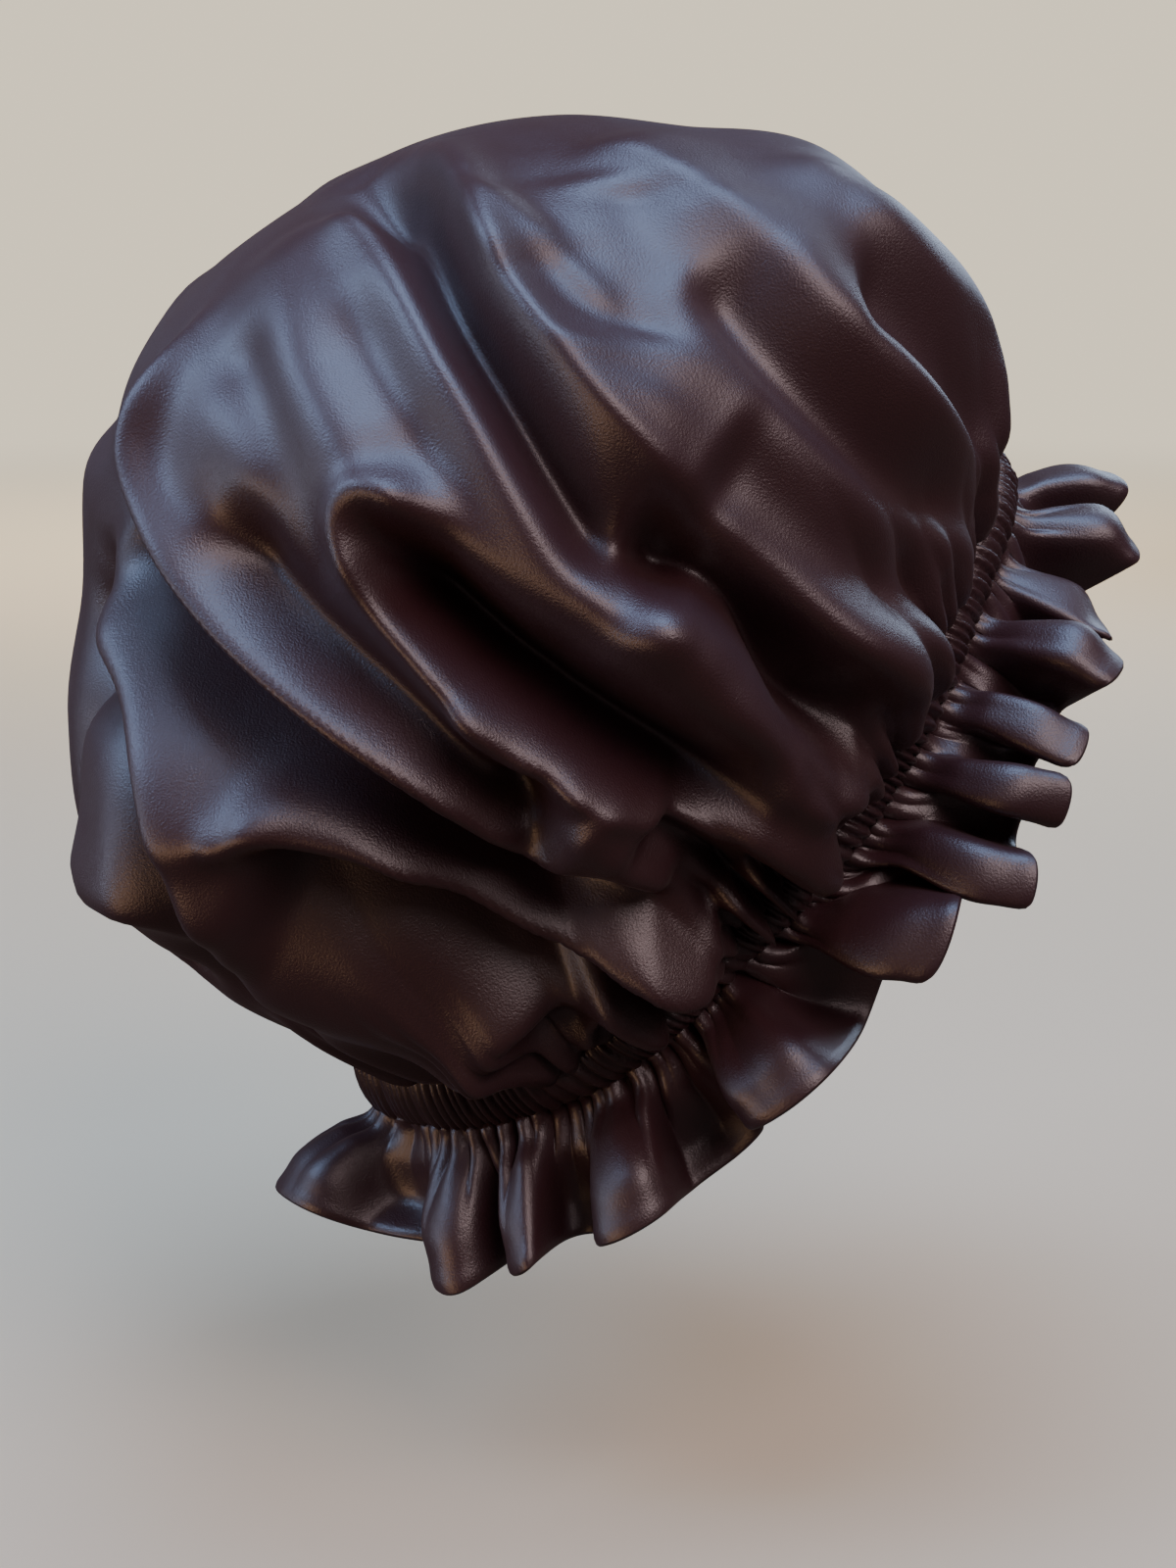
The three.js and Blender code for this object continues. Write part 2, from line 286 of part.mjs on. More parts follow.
function crown() {
  const outer = [];
  for (let r = 0; r < CROWN_RINGS; r++) {
    const up = (r / CROWN_RINGS) * 0.75 + 0.25 * (r / CROWN_RINGS) ** 2;
    outer.push(Array.from({ length: CROWN_COLS }, (_, c) => crownPoint(station(c / CROWN_COLS), up)));
  }
  const tip = crownPoint(station(0), 1);
  const n = gridNormals(outer, CROWN_COLS), flip = dot(n[6][3], add(outer[6][3], CENTRE, -1)) < 0 ? -1 : 1;
  const inner = outer.map((row, r) => row.map((p, c) => add(p, n[r][c], -CROWN_WALL * flip)));
  const s = shell(outer, inner, CROWN_COLS, [tip, add(tip, APEX, -CROWN_WALL)]);
  return mesh("crown", s.pos, flip > 0 ? s.idx : flipped(s.idx), 0x241d20);
}

const flipped = (idx) => idx.map((_, i) => idx[i - (i % 3) + (2 - (i % 3))]);

// All crests round the opening, the left ones mirrored and varied.
const WAVES = (() => {
  const left = LEFT.map((l) => {
    const r = CRESTS[l.row];
    return { round: 1 - r.round + l.shift, x: -r.x, y: r.y, z: r.z, long: r.long * l.long, swing: r.swing * l.swing };
  });
  return CRESTS.concat(left).sort((a, b) => a.round - b.round);
})();

// Values of the ruffle at a share of the opening: phase in whole flutes, direction, length, swing.
function wave(round) {
  const n = WAVES.length, u = ((round % 1) + 1) % 1;
  let i = n - 1;
  for (let k = 0; k < n; k++) if (WAVES[k].round <= u) i = k;
  if (u < WAVES[0].round) i = n - 1;
  const a = WAVES[i], b = WAVES[(i + 1) % n];
  const span = (b.round - a.round + 1) % 1, f = ((u - a.round + 1) % 1) / span;
  const pre = WAVES[(i + n - 1) % n], post = WAVES[(i + 2) % n], out = { phase: i + f };
  for (const key of ["x", "y", "z", "long", "swing"]) out[key] = cubic(pre[key], a[key], b[key], post[key], f);
  out.dir = unit([out.x, out.y, out.z]);
  out.pitch = span * RING.total;
  return out;
}

function rufflePoint(round, down) {
  const st = station(round), w = wave(round), th = 2 * Math.PI * w.phase;
  const root = add(st.p, st.away, st.half + GAP);
  const lead = unit(add(st.away.map((v) => v * (1 - smooth(0, 0.35, down)) * 0.8), w.dir, 0.2 + smooth(0, 0.35, down)));
  const s = down * w.long * (1 - VALLEY * down * (1 - Math.cos(th)) / 2);
  const up = unit(add(st.out, lead, -dot(st.out, lead))), side = unit(add(st.t, lead, -dot(st.t, lead)));
  const grow = smooth(0, 0.75, down), amp = w.swing * grow * 0.78;
  const meander = Math.min(0.17 * w.pitch, 4) * grow;
  let p = add(root, lead, s);
  p = add(p, up, amp * Math.cos(th));
  return add(p, side, meander * Math.sin(2 * th));
}

function ruffle() {
  const mid = [];
  for (let r = 0; r <= RUFFLE_ROWS; r++)
    mid.push(Array.from({ length: RUFFLE_COLS }, (_, c) => rufflePoint(c / RUFFLE_COLS, [0, 0.3, 0.64, 1][r])));
  const n = gridNormals(mid, RUFFLE_COLS), out = station(0).out, flip = dot(n[1][0], out) < 0 ? -1 : 1;
  const a = mid.map((row, r) => row.map((p, c) => add(p, n[r][c], (flip * RUFFLE_WALL) / 2)));
  const b = mid.map((row, r) => row.map((p, c) => add(p, n[r][c], (-flip * RUFFLE_WALL) / 2)));
  const s = shell(a, b, RUFFLE_COLS, null);
  return mesh("ruffle", s.pos, flip > 0 ? s.idx : flipped(s.idx), 0x262024);
}

function casing() {
  const pos = [], idx = [];
  for (let c = 0; c < CASING_COLS; c++) {
    const st = station(c / CASING_COLS);
    for (let k = 0; k < CASING_SIDES; k++) {
      const a = (2 * Math.PI * (k + 0.5)) / CASING_SIDES;
      pos.push(add(add(st.p, st.away, st.half * Math.cos(a)), st.out, st.thick * Math.sin(a)));
    }
  }
  for (let c = 0; c < CASING_COLS; c++)
    for (let k = 0; k < CASING_SIDES; k++) {
      const n = ((c + 1) % CASING_COLS) * CASING_SIDES, a = c * CASING_SIDES, m = (k + 1) % CASING_SIDES;
      idx.push(a + k, n + k, n + m, a + k, n + m, a + m);
    }
  return mesh("elastic_casing", pos, idx, 0x1e181b);
}

// Six times the signed volume, to turn every face outward.
function faceOut(m) {
  const p = m.geometry.attributes.position, i = m.geometry.index.array;
  let v = 0;
  const at = (k) => [p.getX(k), p.getY(k), p.getZ(k)];
  for (let k = 0; k < i.length; k += 3) v += dot(at(i[k]), cross(at(i[k + 1]), at(i[k + 2])));
  if (v < 0) { m.geometry.setIndex(flipped(Array.from(i))); m.geometry.computeVertexNormals(); }
  return m;
}

const part = new THREE.Group();
part.name = "sleep_bonnet";
for (const piece of [crown(), casing(), ruffle()]) part.add(faceOut(piece));
export default part;
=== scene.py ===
import bpy, math
import numpy as np
from mathutils import Matrix, Vector


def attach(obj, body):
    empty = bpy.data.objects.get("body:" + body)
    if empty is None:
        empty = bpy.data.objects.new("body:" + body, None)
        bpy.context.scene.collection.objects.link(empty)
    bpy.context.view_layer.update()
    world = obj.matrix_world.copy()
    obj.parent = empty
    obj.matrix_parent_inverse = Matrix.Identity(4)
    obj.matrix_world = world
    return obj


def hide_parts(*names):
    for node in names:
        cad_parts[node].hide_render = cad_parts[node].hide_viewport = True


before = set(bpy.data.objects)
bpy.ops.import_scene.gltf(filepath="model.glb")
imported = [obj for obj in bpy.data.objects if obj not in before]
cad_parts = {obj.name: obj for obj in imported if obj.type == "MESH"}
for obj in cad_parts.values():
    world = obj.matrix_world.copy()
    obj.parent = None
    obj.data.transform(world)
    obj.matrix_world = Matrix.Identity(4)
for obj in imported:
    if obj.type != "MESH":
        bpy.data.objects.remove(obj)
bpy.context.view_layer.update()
MM = 0.001

# Lengths in mm, row frame: +Z up, -Y towards the face, +X the wearer's left, origin at the centre of the opening.
BODY = {"y": 43, "z": 50, "half": 116, "power": 2.15}

# Side profile of the body: turn in degrees from the back up over the top, reach in mm.
PROFILE = [
  { "turn": 0, "reach": 113.2 }, { "turn": 15, "reach": 114.0 }, { "turn": 30, "reach": 118.4 }, { "turn": 45, "reach": 117.4 },
  { "turn": 60, "reach": 116.3 }, { "turn": 75, "reach": 118.3 }, { "turn": 90, "reach": 120.0 }, { "turn": 105, "reach": 122.1 },
  { "turn": 120, "reach": 130.9 }, { "turn": 135, "reach": 126.4 }, { "turn": 150, "reach": 116.4 }, { "turn": 165, "reach": 106.8 },
  { "turn": 180, "reach": 102.2 }, { "turn": 195, "reach": 97.4 }, { "turn": 210, "reach": 96.1 }, { "turn": 225, "reach": 98.0 },
  { "turn": 240, "reach": 103.8 }, { "turn": 255, "reach": 113.0 }, { "turn": 270, "reach": 120.0 }, { "turn": 285, "reach": 122 },
  { "turn": 300, "reach": 126.5 }, { "turn": 315, "reach": 132 }, { "turn": 330, "reach": 137 }, { "turn": 345, "reach": 126 },
]

# Elastic line, forehead round the right side to the nape; the left side mirrors it.
OPENING = [
  { "x": 0, "y": -77, "z": 81 }, { "x": -30, "y": -67.5, "z": 74.8 }, { "x": -46, "y": -57.2, "z": 65 }, { "x": -58, "y": -46.8, "z": 52.2 },
  { "x": -67, "y": -37, "z": 37.2 }, { "x": -73, "y": -26.4, "z": 23.2 }, { "x": -76, "y": -13.1, "z": 4.3 }, { "x": -76, "y": 2.4, "z": -12.9 },
  { "x": -73, "y": 18.3, "z": -29.8 }, { "x": -67, "y": 33.4, "z": -47.1 }, { "x": -57, "y": 50.8, "z": -61.9 }, { "x": -41, "y": 72.6, "z": -71.6 },
  { "x": -22, "y": 84.9, "z": -76.6 }, { "x": 0, "y": 93, "z": -79 },
]

# Casing section: share of the way round, half width along the cloth, half thickness.
CASING = [
  {"round": 0, "half": 6.0, "thick": 4.6}, {"round": 0.2, "half": 6.4, "thick": 5.0}, {"round": 0.3, "half": 6.0, "thick": 4.2},
  {"round": 0.36, "half": 7.0, "thick": 3.2}, {"round": 0.42, "half": 8.6, "thick": 2.6}, {"round": 0.5, "half": 9.0, "thick": 2.6},
]

# How far the body takes to reach its full size from the casing, by share of the way round.
SWELL = [
  { "round": 0, "reach": 34 }, { "round": 0.16, "reach": 38 }, { "round": 0.24, "reach": 22 }, { "round": 0.36, "reach": 16 }, { "round": 0.5, "reach": 20 },
]

# Large folds of the body: height, half width right and left of the path, lean over to its right,
# path in degrees of turn and of tilt towards +X.
FOLDS = [
  { "fold": "brow_a", "rise": 3.5, "half": 9, "wide": 12, "lean": 0.2, "path": [[112.9,-23.7],[118.3,-30.2],[127.0,-29.9],[137.1,-24.3],[146.1,-23.8],[153.2,-26.4],[158.2,-28.2]] },
  { "fold": "brow_b", "rise": 4.5, "half": 7, "wide": 13, "lean": 0.3, "path": [[118.4,-32.7],[128.1,-32.8],[136.0,-30.1],[144.3,-23.0],[150.0,-24.8],[155.7,-27.3],[160.2,-28.6]] },
  { "fold": "brow_dip", "rise": -9, "half": 8, "wide": 8, "lean": 0, "path": [[122.5,-41.8],[129.6,-40.6],[135.9,-39.8],[142.0,-38.4],[149.4,-35.0],[157.0,-27.6]] },
  { "fold": "temple_a", "rise": 6, "half": 8, "wide": 20, "lean": 0.4, "path": [[89.3,-24.6],[94.3,-29.1],[100.8,-34.0],[106.8,-39.4],[113.9,-44.1],[121.1,-46.8],[132.2,-46.4],[143.6,-43.3],[155.3,-31.7],[161.1,-28.8]] },
  { "fold": "temple_dip", "rise": -12, "half": 9, "wide": 9, "lean": 0, "path": [[100.8,-45.9],[106.8,-50.1],[114.4,-54.1],[123.4,-55.8],[131.8,-56.0],[142.2,-54.5],[153.9,-48.8],[163.2,-35.4]] },
  { "fold": "temple_b", "rise": 5, "half": 8, "wide": 16, "lean": 0.4, "path": [[98.8,-46.6],[104.1,-51.7],[111.6,-56.4],[122.5,-58.6],[135.2,-58.4],[149.0,-54.9],[162.0,-45.1],[169.8,-29.8]] },
  { "fold": "side_dip_a", "rise": -12, "half": 9, "wide": 12, "lean": 0, "path": [[103.6,-67.7],[116.7,-69.4],[132.7,-69.9],[149.7,-67.8],[161.8,-62.7],[168.6,-54.7],[172.1,-46.4]] },
  { "fold": "side_a", "rise": 4.5, "half": 7, "wide": 12, "lean": 0.3, "path": [[98.3,-69.1],[119.2,-71.7],[139.9,-71.0],[159.2,-66.1],[172.2,-59.1],[180.3,-48.6]] },
  { "fold": "side_b", "rise": 8.5, "half": 5, "wide": 10, "lean": 0.4, "path": [[72.1,-31.7],[70.8,-41.3],[71.3,-48.7],[73.2,-53.9],[77.1,-59.8],[85.1,-66.3],[98.9,-71.6],[121.4,-74.8],[147.7,-73.9],[171.2,-69.0],[185.1,-61.0],[189.1,-53.5]] },
  { "fold": "side_dip_b", "rise": -23, "half": 9, "wide": 9, "lean": 0, "path": [[76.8,-74.2],[97.0,-77.8],[124.2,-79.0],[150.1,-78.6],[174.1,-76.6],[189.5,-74.0],[198.5,-69.4],[201.0,-60.8]] },
  { "fold": "panel_edge", "rise": 6, "half": 11, "wide": 3.4, "lean": -0.5, "path": [[102.7,-78.6],[130.8,-79.4],[155.8,-79.7],[184.7,-78.9],[202.3,-76.3],[207.7,-72.1],[207.6,-64.8]] },
  { "fold": "ear_fold", "rise": 6, "half": 12, "wide": 14, "lean": 0, "path": [[78.8,-81.1],[117.7,-84.8],[178.2,-83.2],[203.5,-79.2],[212.5,-72.6],[210.9,-64.5]] },
  { "fold": "ear_edge", "rise": 9, "half": 4, "wide": 8, "lean": 0.25, "path": [[32.2,-56.1],[32.0,-59.5],[31.1,-63.1],[28.4,-67.4],[24.4,-71.6],[18.2,-75.7],[10.0,-79.3],[359.1,-82.0],[309.7,-85.6],[248.7,-82.9],[230.1,-76.8],[224.4,-70.5],[221.1,-65.3],[216.0,-60.5],[210.0,-58.3]] },
  { "fold": "ear_dip", "rise": -29, "half": 9, "wide": 7, "lean": 0, "path": [[27.3,-57.6],[23.8,-62.1],[20.3,-66.0],[15.9,-69.7],[10.3,-73.1],[2.8,-76.7],[351.1,-80.0],[325.3,-82.8],[284.0,-83.0],[254.2,-80.0],[238.3,-75.8],[226.4,-69.6]] },
  { "fold": "loop_rim", "rise": 9, "half": 4, "wide": 4.2, "lean": 0, "path": [[35.2,-59.7],[33.7,-56.8],[31.3,-54.2],[27.6,-52.7],[23.0,-53.2],[17.9,-55.8],[12.0,-59.4],[4.7,-63.0],[355.5,-66.7],[343.9,-70.1]] },
  { "fold": "loop_edge", "rise": 8, "half": 3.8, "wide": 8, "lean": 0.4, "path": [[352.9,-67.2],[341.7,-69.9],[325.3,-73.0],[302.7,-75.5],[275.2,-74.9],[252.7,-71.1],[237.6,-64.1],[228.0,-50.0]] },
  { "fold": "pouch_a", "rise": 6, "half": 9, "wide": 9, "lean": 0, "path": [[300.0,-72.5],[286.1,-70.4],[274.3,-66.0],[263.4,-61.2]] },
  { "fold": "pouch_dip_a", "rise": -9, "half": 6, "wide": 6, "lean": 0, "path": [[324.5,-71.0],[311.8,-69.9],[303.3,-67.2],[299.3,-63.3]] },
  { "fold": "pouch_dip_b", "rise": -14, "half": 8, "wide": 9, "lean": 0, "path": [[273.8,-72.1],[260.5,-67.7],[250.8,-62.0],[245.0,-55.4]] },
  { "fold": "hook_dip", "rise": -14, "half": 7, "wide": 9, "lean": 0, "path": [[19.8,-35.5],[13.9,-41.2],[8.5,-46.9],[2.4,-52.7],[355.4,-58.3],[345.0,-63.2],[331.8,-66.0],[316.9,-66.5],[305.5,-65.6]] },
  { "fold": "soft_dip", "rise": -4, "half": 7, "wide": 7, "lean": 0, "path": [[38.8,-25.2],[36.5,-33.2],[32.1,-40.1],[26.1,-45.4],[19.1,-49.8],[13.8,-52.9]] },
  { "fold": "thin_ridge", "rise": 10, "half": 4.2, "wide": 4.6, "lean": 0.1, "path": [[38.0,-18.1],[31.6,-19.9],[26.0,-20.0],[21.0,-21.2],[15.8,-25.4],[10.8,-31.6],[6.4,-36.8],[2.0,-42.5],[357.4,-48.5],[351.1,-54.2],[343.2,-58.7],[332.6,-61.9],[320.7,-63.0],[310.7,-62.7],[304.0,-62.3],[298.5,-62.6],[296.0,-65.1],[298.5,-69.1],[306.8,-73.2]] },
  { "fold": "long_dip", "rise": -30, "half": 13, "wide": 7, "lean": 0, "path": [[16.4,-11.4],[12.1,-18.3],[7.6,-24.1],[3.0,-29.6],[358.0,-35.5],[352.9,-41.3],[346.5,-47.0],[338.8,-52.3],[328.7,-56.5],[316.3,-58.3],[302.0,-59.0],[282.9,-59.7],[265.4,-58.6]] },
  { "fold": "long_ridge", "rise": 11.5, "half": 4.2, "wide": 6, "lean": 0.2, "path": [[337.6,-39.6],[338.4,-42.7],[337.6,-46.2],[334.2,-49.4],[328.7,-52.1],[320.6,-53.6],[312.2,-54.0],[303.0,-54.0],[293.4,-53.4],[281.4,-53.2],[269.5,-52.8],[256.7,-50.2],[246.4,-46.9]] },
  { "fold": "twin_ridge", "rise": 5, "half": 3.5, "wide": 4, "lean": 0, "path": [[334.9,-36.6],[335.5,-39.9],[334.1,-43.7],[331.1,-47.1],[326.7,-50.0],[320.3,-52.4],[312.6,-53.3]] },
  { "fold": "under_dip", "rise": -27, "half": 17, "wide": 6, "lean": 0, "path": [[330.5,-38.5],[327.7,-40.9],[323.7,-43.5],[318.8,-45.9],[312.9,-48.1],[306.5,-49.2],[299.5,-49.5],[291.7,-49.5],[283.2,-49.2],[272.8,-48.1]] },
  { "fold": "nape_roll", "rise": 3, "half": 10, "wide": 10, "lean": 0, "path": [[317.0,-26.3],[309.5,-27.8],[302.2,-31.8],[294.6,-36.0],[286.4,-39.7],[281.1,-41.3]] },
  { "fold": "nape_pouch", "rise": 9, "half": 7, "wide": 7, "lean": 0, "path": [[286.6,-24.9],[288.1,-35.5],[285.4,-40.8],[279.6,-43.4],[273.5,-42.0],[267.6,-35.0]] },
  { "fold": "pouch_dip", "rise": -9, "half": 6, "wide": 6, "lean": 0, "path": [[283.2,-35.4],[279.2,-38.2],[274.0,-37.6]] },
  { "fold": "near_lobe", "rise": 9, "half": 8, "wide": 9, "lean": 0, "path": [[3.9,-8.1],[357.5,-17.9],[351.7,-26.0],[345.9,-30.3],[339.8,-32.1],[334.0,-32.6],[328.2,-32.2],[322.6,-31.5]] },
  { "fold": "near_behind", "rise": -13, "half": 8, "wide": 6, "lean": 0, "path": [[2.5,2.0],[356.0,4.8],[353.0,-13.5],[349.1,-20.9],[344.6,-24.4],[339.9,-26.2],[335.0,-27.0],[329.8,-26.5],[324.5,-24.9],[319.2,-22.0],[313.7,-20.4],[308.1,-21.9]] },
  { "fold": "far_fold", "rise": 7, "half": 4.2, "wide": 10, "lean": 0.3, "path": [[334.9,-3.4],[332.4,-4.5],[331.8,-18.0],[329.0,-22.0],[325.0,-22.9],[320.6,-21.9]] },
  { "fold": "far_dip", "rise": -9, "half": 5, "wide": 5, "lean": 0, "path": [[331.9,-5.4],[328.4,-7.9],[324.7,-10.2],[320.9,-11.9],[317.1,-12.7]] },
  { "fold": "back_broad", "rise": 3, "half": 12, "wide": 12, "lean": 0, "path": [[53.5,-16.6],[44.6,-31.8],[39.9,-38.5],[37.3,-46.1],[34.3,-51.8]] },
  { "fold": "long_slot", "rise": -17, "half": 6.5, "wide": 6.5, "lean": 0, "path": [[64.8,-6.7],[65.2,-20.7],[65.5,-30.3],[64.9,-38.1],[63.8,-45.6],[63.5,-52.5],[63.5,-58.8],[63.3,-64.7],[63.8,-70.5],[64.0,-75.1],[65.2,-79.7]] },
  { "fold": "slot_left", "rise": 7, "half": 7, "wide": 9, "lean": 0, "path": [[55.8,-22.0],[60.7,-25.5],[61.7,-32.5],[59.1,-42.2],[57.3,-49.8],[55.6,-57.9],[52.6,-66.0],[49.7,-73.0],[47.5,-79.0],[53.0,-84.4],[128.8,-87.0]] },
  { "fold": "slot_right", "rise": 8, "half": 6, "wide": 6, "lean": 0, "path": [[73.6,-13.3],[72.1,-27.3],[70.2,-38.6],[69.0,-46.5],[69.2,-53.8],[70.2,-60.0],[72.0,-65.8],[72.4,-70.2],[70.2,-74.7],[71.4,-79.1],[84.8,-84.1],[128.4,-86.1]] },
  { "fold": "slot_dip", "rise": -5, "half": 8, "wide": 8, "lean": 0, "path": [[51.8,-33.9],[48.0,-46.1],[45.5,-54.1],[42.2,-61.4],[36.7,-69.0],[26.4,-76.6],[2.1,-82.5]] },
  { "fold": "crown_crease", "rise": 2, "half": 3, "wide": 3, "lean": 0, "path": [[74.0,-34.2],[76.9,-40.5],[81.5,-47.2],[85.3,-51.9]] },
  { "fold": "crown_a", "rise": 3, "half": 11, "wide": 11, "lean": 0, "path": [[87.6,-31.6],[87.6,-41.7],[86.1,-50.8],[81.8,-55.1],[79.1,-58.1]] },
  { "fold": "crown_dip", "rise": -4, "half": 10, "wide": 10, "lean": 0, "path": [[91.9,-34.7],[91.7,-43.3],[90.5,-51.0],[87.6,-55.5]] },
  { "fold": "crown_b", "rise": 3, "half": 13, "wide": 13, "lean": 0, "path": [[97.0,-35.1],[97.2,-44.3],[97.2,-53.1],[95.4,-60.9],[89.2,-65.2]] },
  { "fold": "crown_c", "rise": -3.5, "half": 11, "wide": 11, "lean": 0, "path": [[75.1,-44.4],[77.3,-49.6],[79.5,-53.6],[79.3,-55.9]] },
  { "fold": "left_lobe", "rise": 11, "half": 24, "wide": 24, "lean": 0, "path": [[24,16],[5,20],[345,24],[325,26],[308,24]] },
  { "fold": "left_lobe_dip", "rise": -8.8, "half": 8, "wide": 8, "lean": 0, "path": [[10,-2],[352,1],[335,0],[318,-2],[302,-6]] },
  { "fold": "left_brow", "rise": 4, "half": 4.8, "wide": 14.4, "lean": 0.8, "path": [[96,12],[108,20],[124,27],[140,27],[157,19]] },
  { "fold": "left_brow_dip", "rise": -6.2, "half": 8, "wide": 8, "lean": 0, "path": [[104,30],[120,36],[138,37],[156,30]] },
  { "fold": "left_temple", "rise": 6, "half": 4.8, "wide": 14.4, "lean": 0.8, "path": [[86,20],[92,32],[106,43],[126,48],[146,46],[163,36]] },
  { "fold": "left_temple_dip", "rise": -12.5, "half": 10, "wide": 10, "lean": 0, "path": [[92,48],[108,56],[130,59],[152,55],[170,44]] },
  { "fold": "left_side", "rise": 8, "half": 5.4, "wide": 16.2, "lean": 0.8, "path": [[70,30],[76,46],[88,58],[112,67],[140,67],[166,60],[182,50]] },
  { "fold": "left_side_dip", "rise": -16.2, "half": 12, "wide": 12, "lean": 0, "path": [[70,56],[84,68],[116,77],[156,76],[186,66],[196,56]] },
  { "fold": "left_ear", "rise": 8, "half": 6, "wide": 18, "lean": 0.8, "path": [[50,34],[52,52],[56,68],[80,84],[190,82],[208,70],[212,60]] },
  { "fold": "left_ear_dip", "rise": -16.2, "half": 11, "wide": 11, "lean": 0, "path": [[36,46],[32,60],[20,74],[300,84],[238,76],[228,62]] },
  { "fold": "left_low", "rise": 9, "half": 16.2, "wide": 5.4, "lean": -0.8, "path": [[28,30],[20,44],[8,58],[342,70],[296,74],[254,66],[240,54]] },
  { "fold": "left_low_dip", "rise": -15, "half": 12, "wide": 12, "lean": 0, "path": [[6,40],[352,52],[330,60],[300,62],[268,56],[256,46]] },
  { "fold": "left_nape", "rise": 9, "half": 14.4, "wide": 4.8, "lean": -0.8, "path": [[342,38],[326,48],[306,52],[284,50],[264,42]] },
  { "fold": "left_nape_dip", "rise": -11.2, "half": 9, "wide": 9, "lean": 0, "path": [[322,34],[308,40],[292,42],[276,36]] },
  { "fold": "left_top", "rise": 2, "half": 10, "wide": 10, "lean": 0, "path": [[62,6],[66,18],[68,32],[64,46]] },
  { "fold": "left_back", "rise": 2.5, "half": 11, "wide": 11, "lean": 0, "path": [[44,8],[36,22],[30,36],[24,50]] },
]

# Ruffle crests from the forehead round the right side: way the cloth leaves the casing, length and swing.
CRESTS = [
  { "round": 0, "x": 0.10, "y": -0.95, "z": -0.20, "long": 36, "swing": 9 },
  { "round": 0.045, "x": -0.05, "y": -0.84, "z": -0.54, "long": 36, "swing": 15 },
  { "round": 0.085, "x": -0.16, "y": -0.72, "z": -0.68, "long": 34, "swing": 9 },
  { "round": 0.122, "x": -0.41, "y": -0.78, "z": -0.48, "long": 36, "swing": 15 },
  { "round": 0.158, "x": -0.38, "y": -0.87, "z": -0.30, "long": 35, "swing": 8 },
  { "round": 0.188, "x": -0.43, "y": -0.86, "z": -0.27, "long": 38, "swing": 11 },
  { "round": 0.222, "x": -0.42, "y": -0.90, "z": -0.06, "long": 43, "swing": 12 },
  { "round": 0.262, "x": -0.45, "y": -0.89, "z": 0.01, "long": 39, "swing": 15 },
  { "round": 0.309, "x": -0.53, "y": -0.58, "z": -0.62, "long": 35, "swing": 16 },
  { "round": 0.366, "x": -0.49, "y": -0.11, "z": -0.86, "long": 40, "swing": 13 },
  { "round": 0.409, "x": -0.39, "y": -0.05, "z": -0.92, "long": 39, "swing": 9 },
  { "round": 0.438, "x": -0.34, "y": -0.09, "z": -0.94, "long": 40, "swing": 10 },
  { "round": 0.5, "x": -0.05, "y": 0.53, "z": -0.85, "long": 34, "swing": 12 },
]

# The left side: shift of each mirrored crest, and its length and swing as shares of the right one.
LEFT = [
  { "row": 1, "shift": 0.004, "long": 1.02, "swing": 0.9 }, { "row": 2, "shift": -0.006, "long": 0.97, "swing": 1.1 }, { "row": 3, "shift": 0.008, "long": 0.96, "swing": 0.85 },
  { "row": 4, "shift": -0.004, "long": 0.98, "swing": 1.3 }, { "row": 5, "shift": 0.004, "long": 1.0, "swing": 1.2 }, { "row": 6, "shift": 0.008, "long": 0.96, "swing": 0.85 },
  { "row": 7, "shift": -0.004, "long": 1.02, "swing": 0.95 }, { "row": 8, "shift": 0.004, "long": 0.97, "swing": 0.85 }, { "row": 9, "shift": -0.005, "long": 1.02, "swing": 1.0 },
  { "row": 10, "shift": 0.003, "long": 0.99, "swing": 1.2 }, { "row": 11, "shift": 0.005, "long": 0.98, "swing": 1.2 },
]

# Gathers of the body next to the casing: number round, height, where they start and fade, share left behind the right ear.
GATHERS = [
  {"count": 118, "high": 2.4, "start": 0, "fade": 9, "right": 1.0, "wander": 5.0},
  {"count": 55, "high": 9.5, "start": 3, "fade": 20, "right": 1.0, "wander": 4.0},
  {"count": 24, "high": 7.5, "start": 8, "fade": 42, "right": 0.6, "wander": 2.5},
]

CROWN_COLS, CROWN_RINGS = 640, 152
RUFFLE_COLS, RUFFLE_ROWS, RUFFLE_WALL = 1320, 26, 1.3
CASING_COLS, CASING_SIDES = 1900, 18

# How far the casing stands up towards the vertical at the nape.
UPRIGHT = 0.5
CENTRE = np.array([0.0, BODY["y"], BODY["z"]])
APEX = CENTRE / np.linalg.norm(CENTRE)


def cubic(p, q, r, s, f):
    return 0.5 * (2 * q + (r - p) * f + (2 * p - 5 * q + 4 * r - s) * f * f + (3 * q - p - 3 * r + s) * f ** 3)


def smooth(a, b, x):
    t = np.clip((x - a) / (b - a), 0, 1)
    return t * t * (3 - 2 * t)


def unit(v):
    return v / np.linalg.norm(v, axis=-1, keepdims=True)


def dot(a, b):
    return (a * b).sum(-1)


def reach(d):
    p = np.array([r["reach"] for r in PROFILE], float)
    n = len(p)
    t = (np.arctan2(d[..., 2], d[..., 1]) / (2 * np.pi) * n) % n
    i = np.floor(t).astype(int)
    r = cubic(p[(i - 1) % n], p[i % n], p[(i + 1) % n], p[(i + 2) % n], t - i)
    q = np.hypot(d[..., 1], d[..., 2])
    return ((np.abs(d[..., 0]) / BODY["half"]) ** BODY["power"] + (q / r) ** BODY["power"]) ** (-1 / BODY["power"])


def heading(turn, tilt):
    a, b = np.radians(turn), np.radians(tilt)
    return np.stack([np.sin(b), np.cos(b) * np.cos(a), np.cos(b) * np.sin(a)], -1)


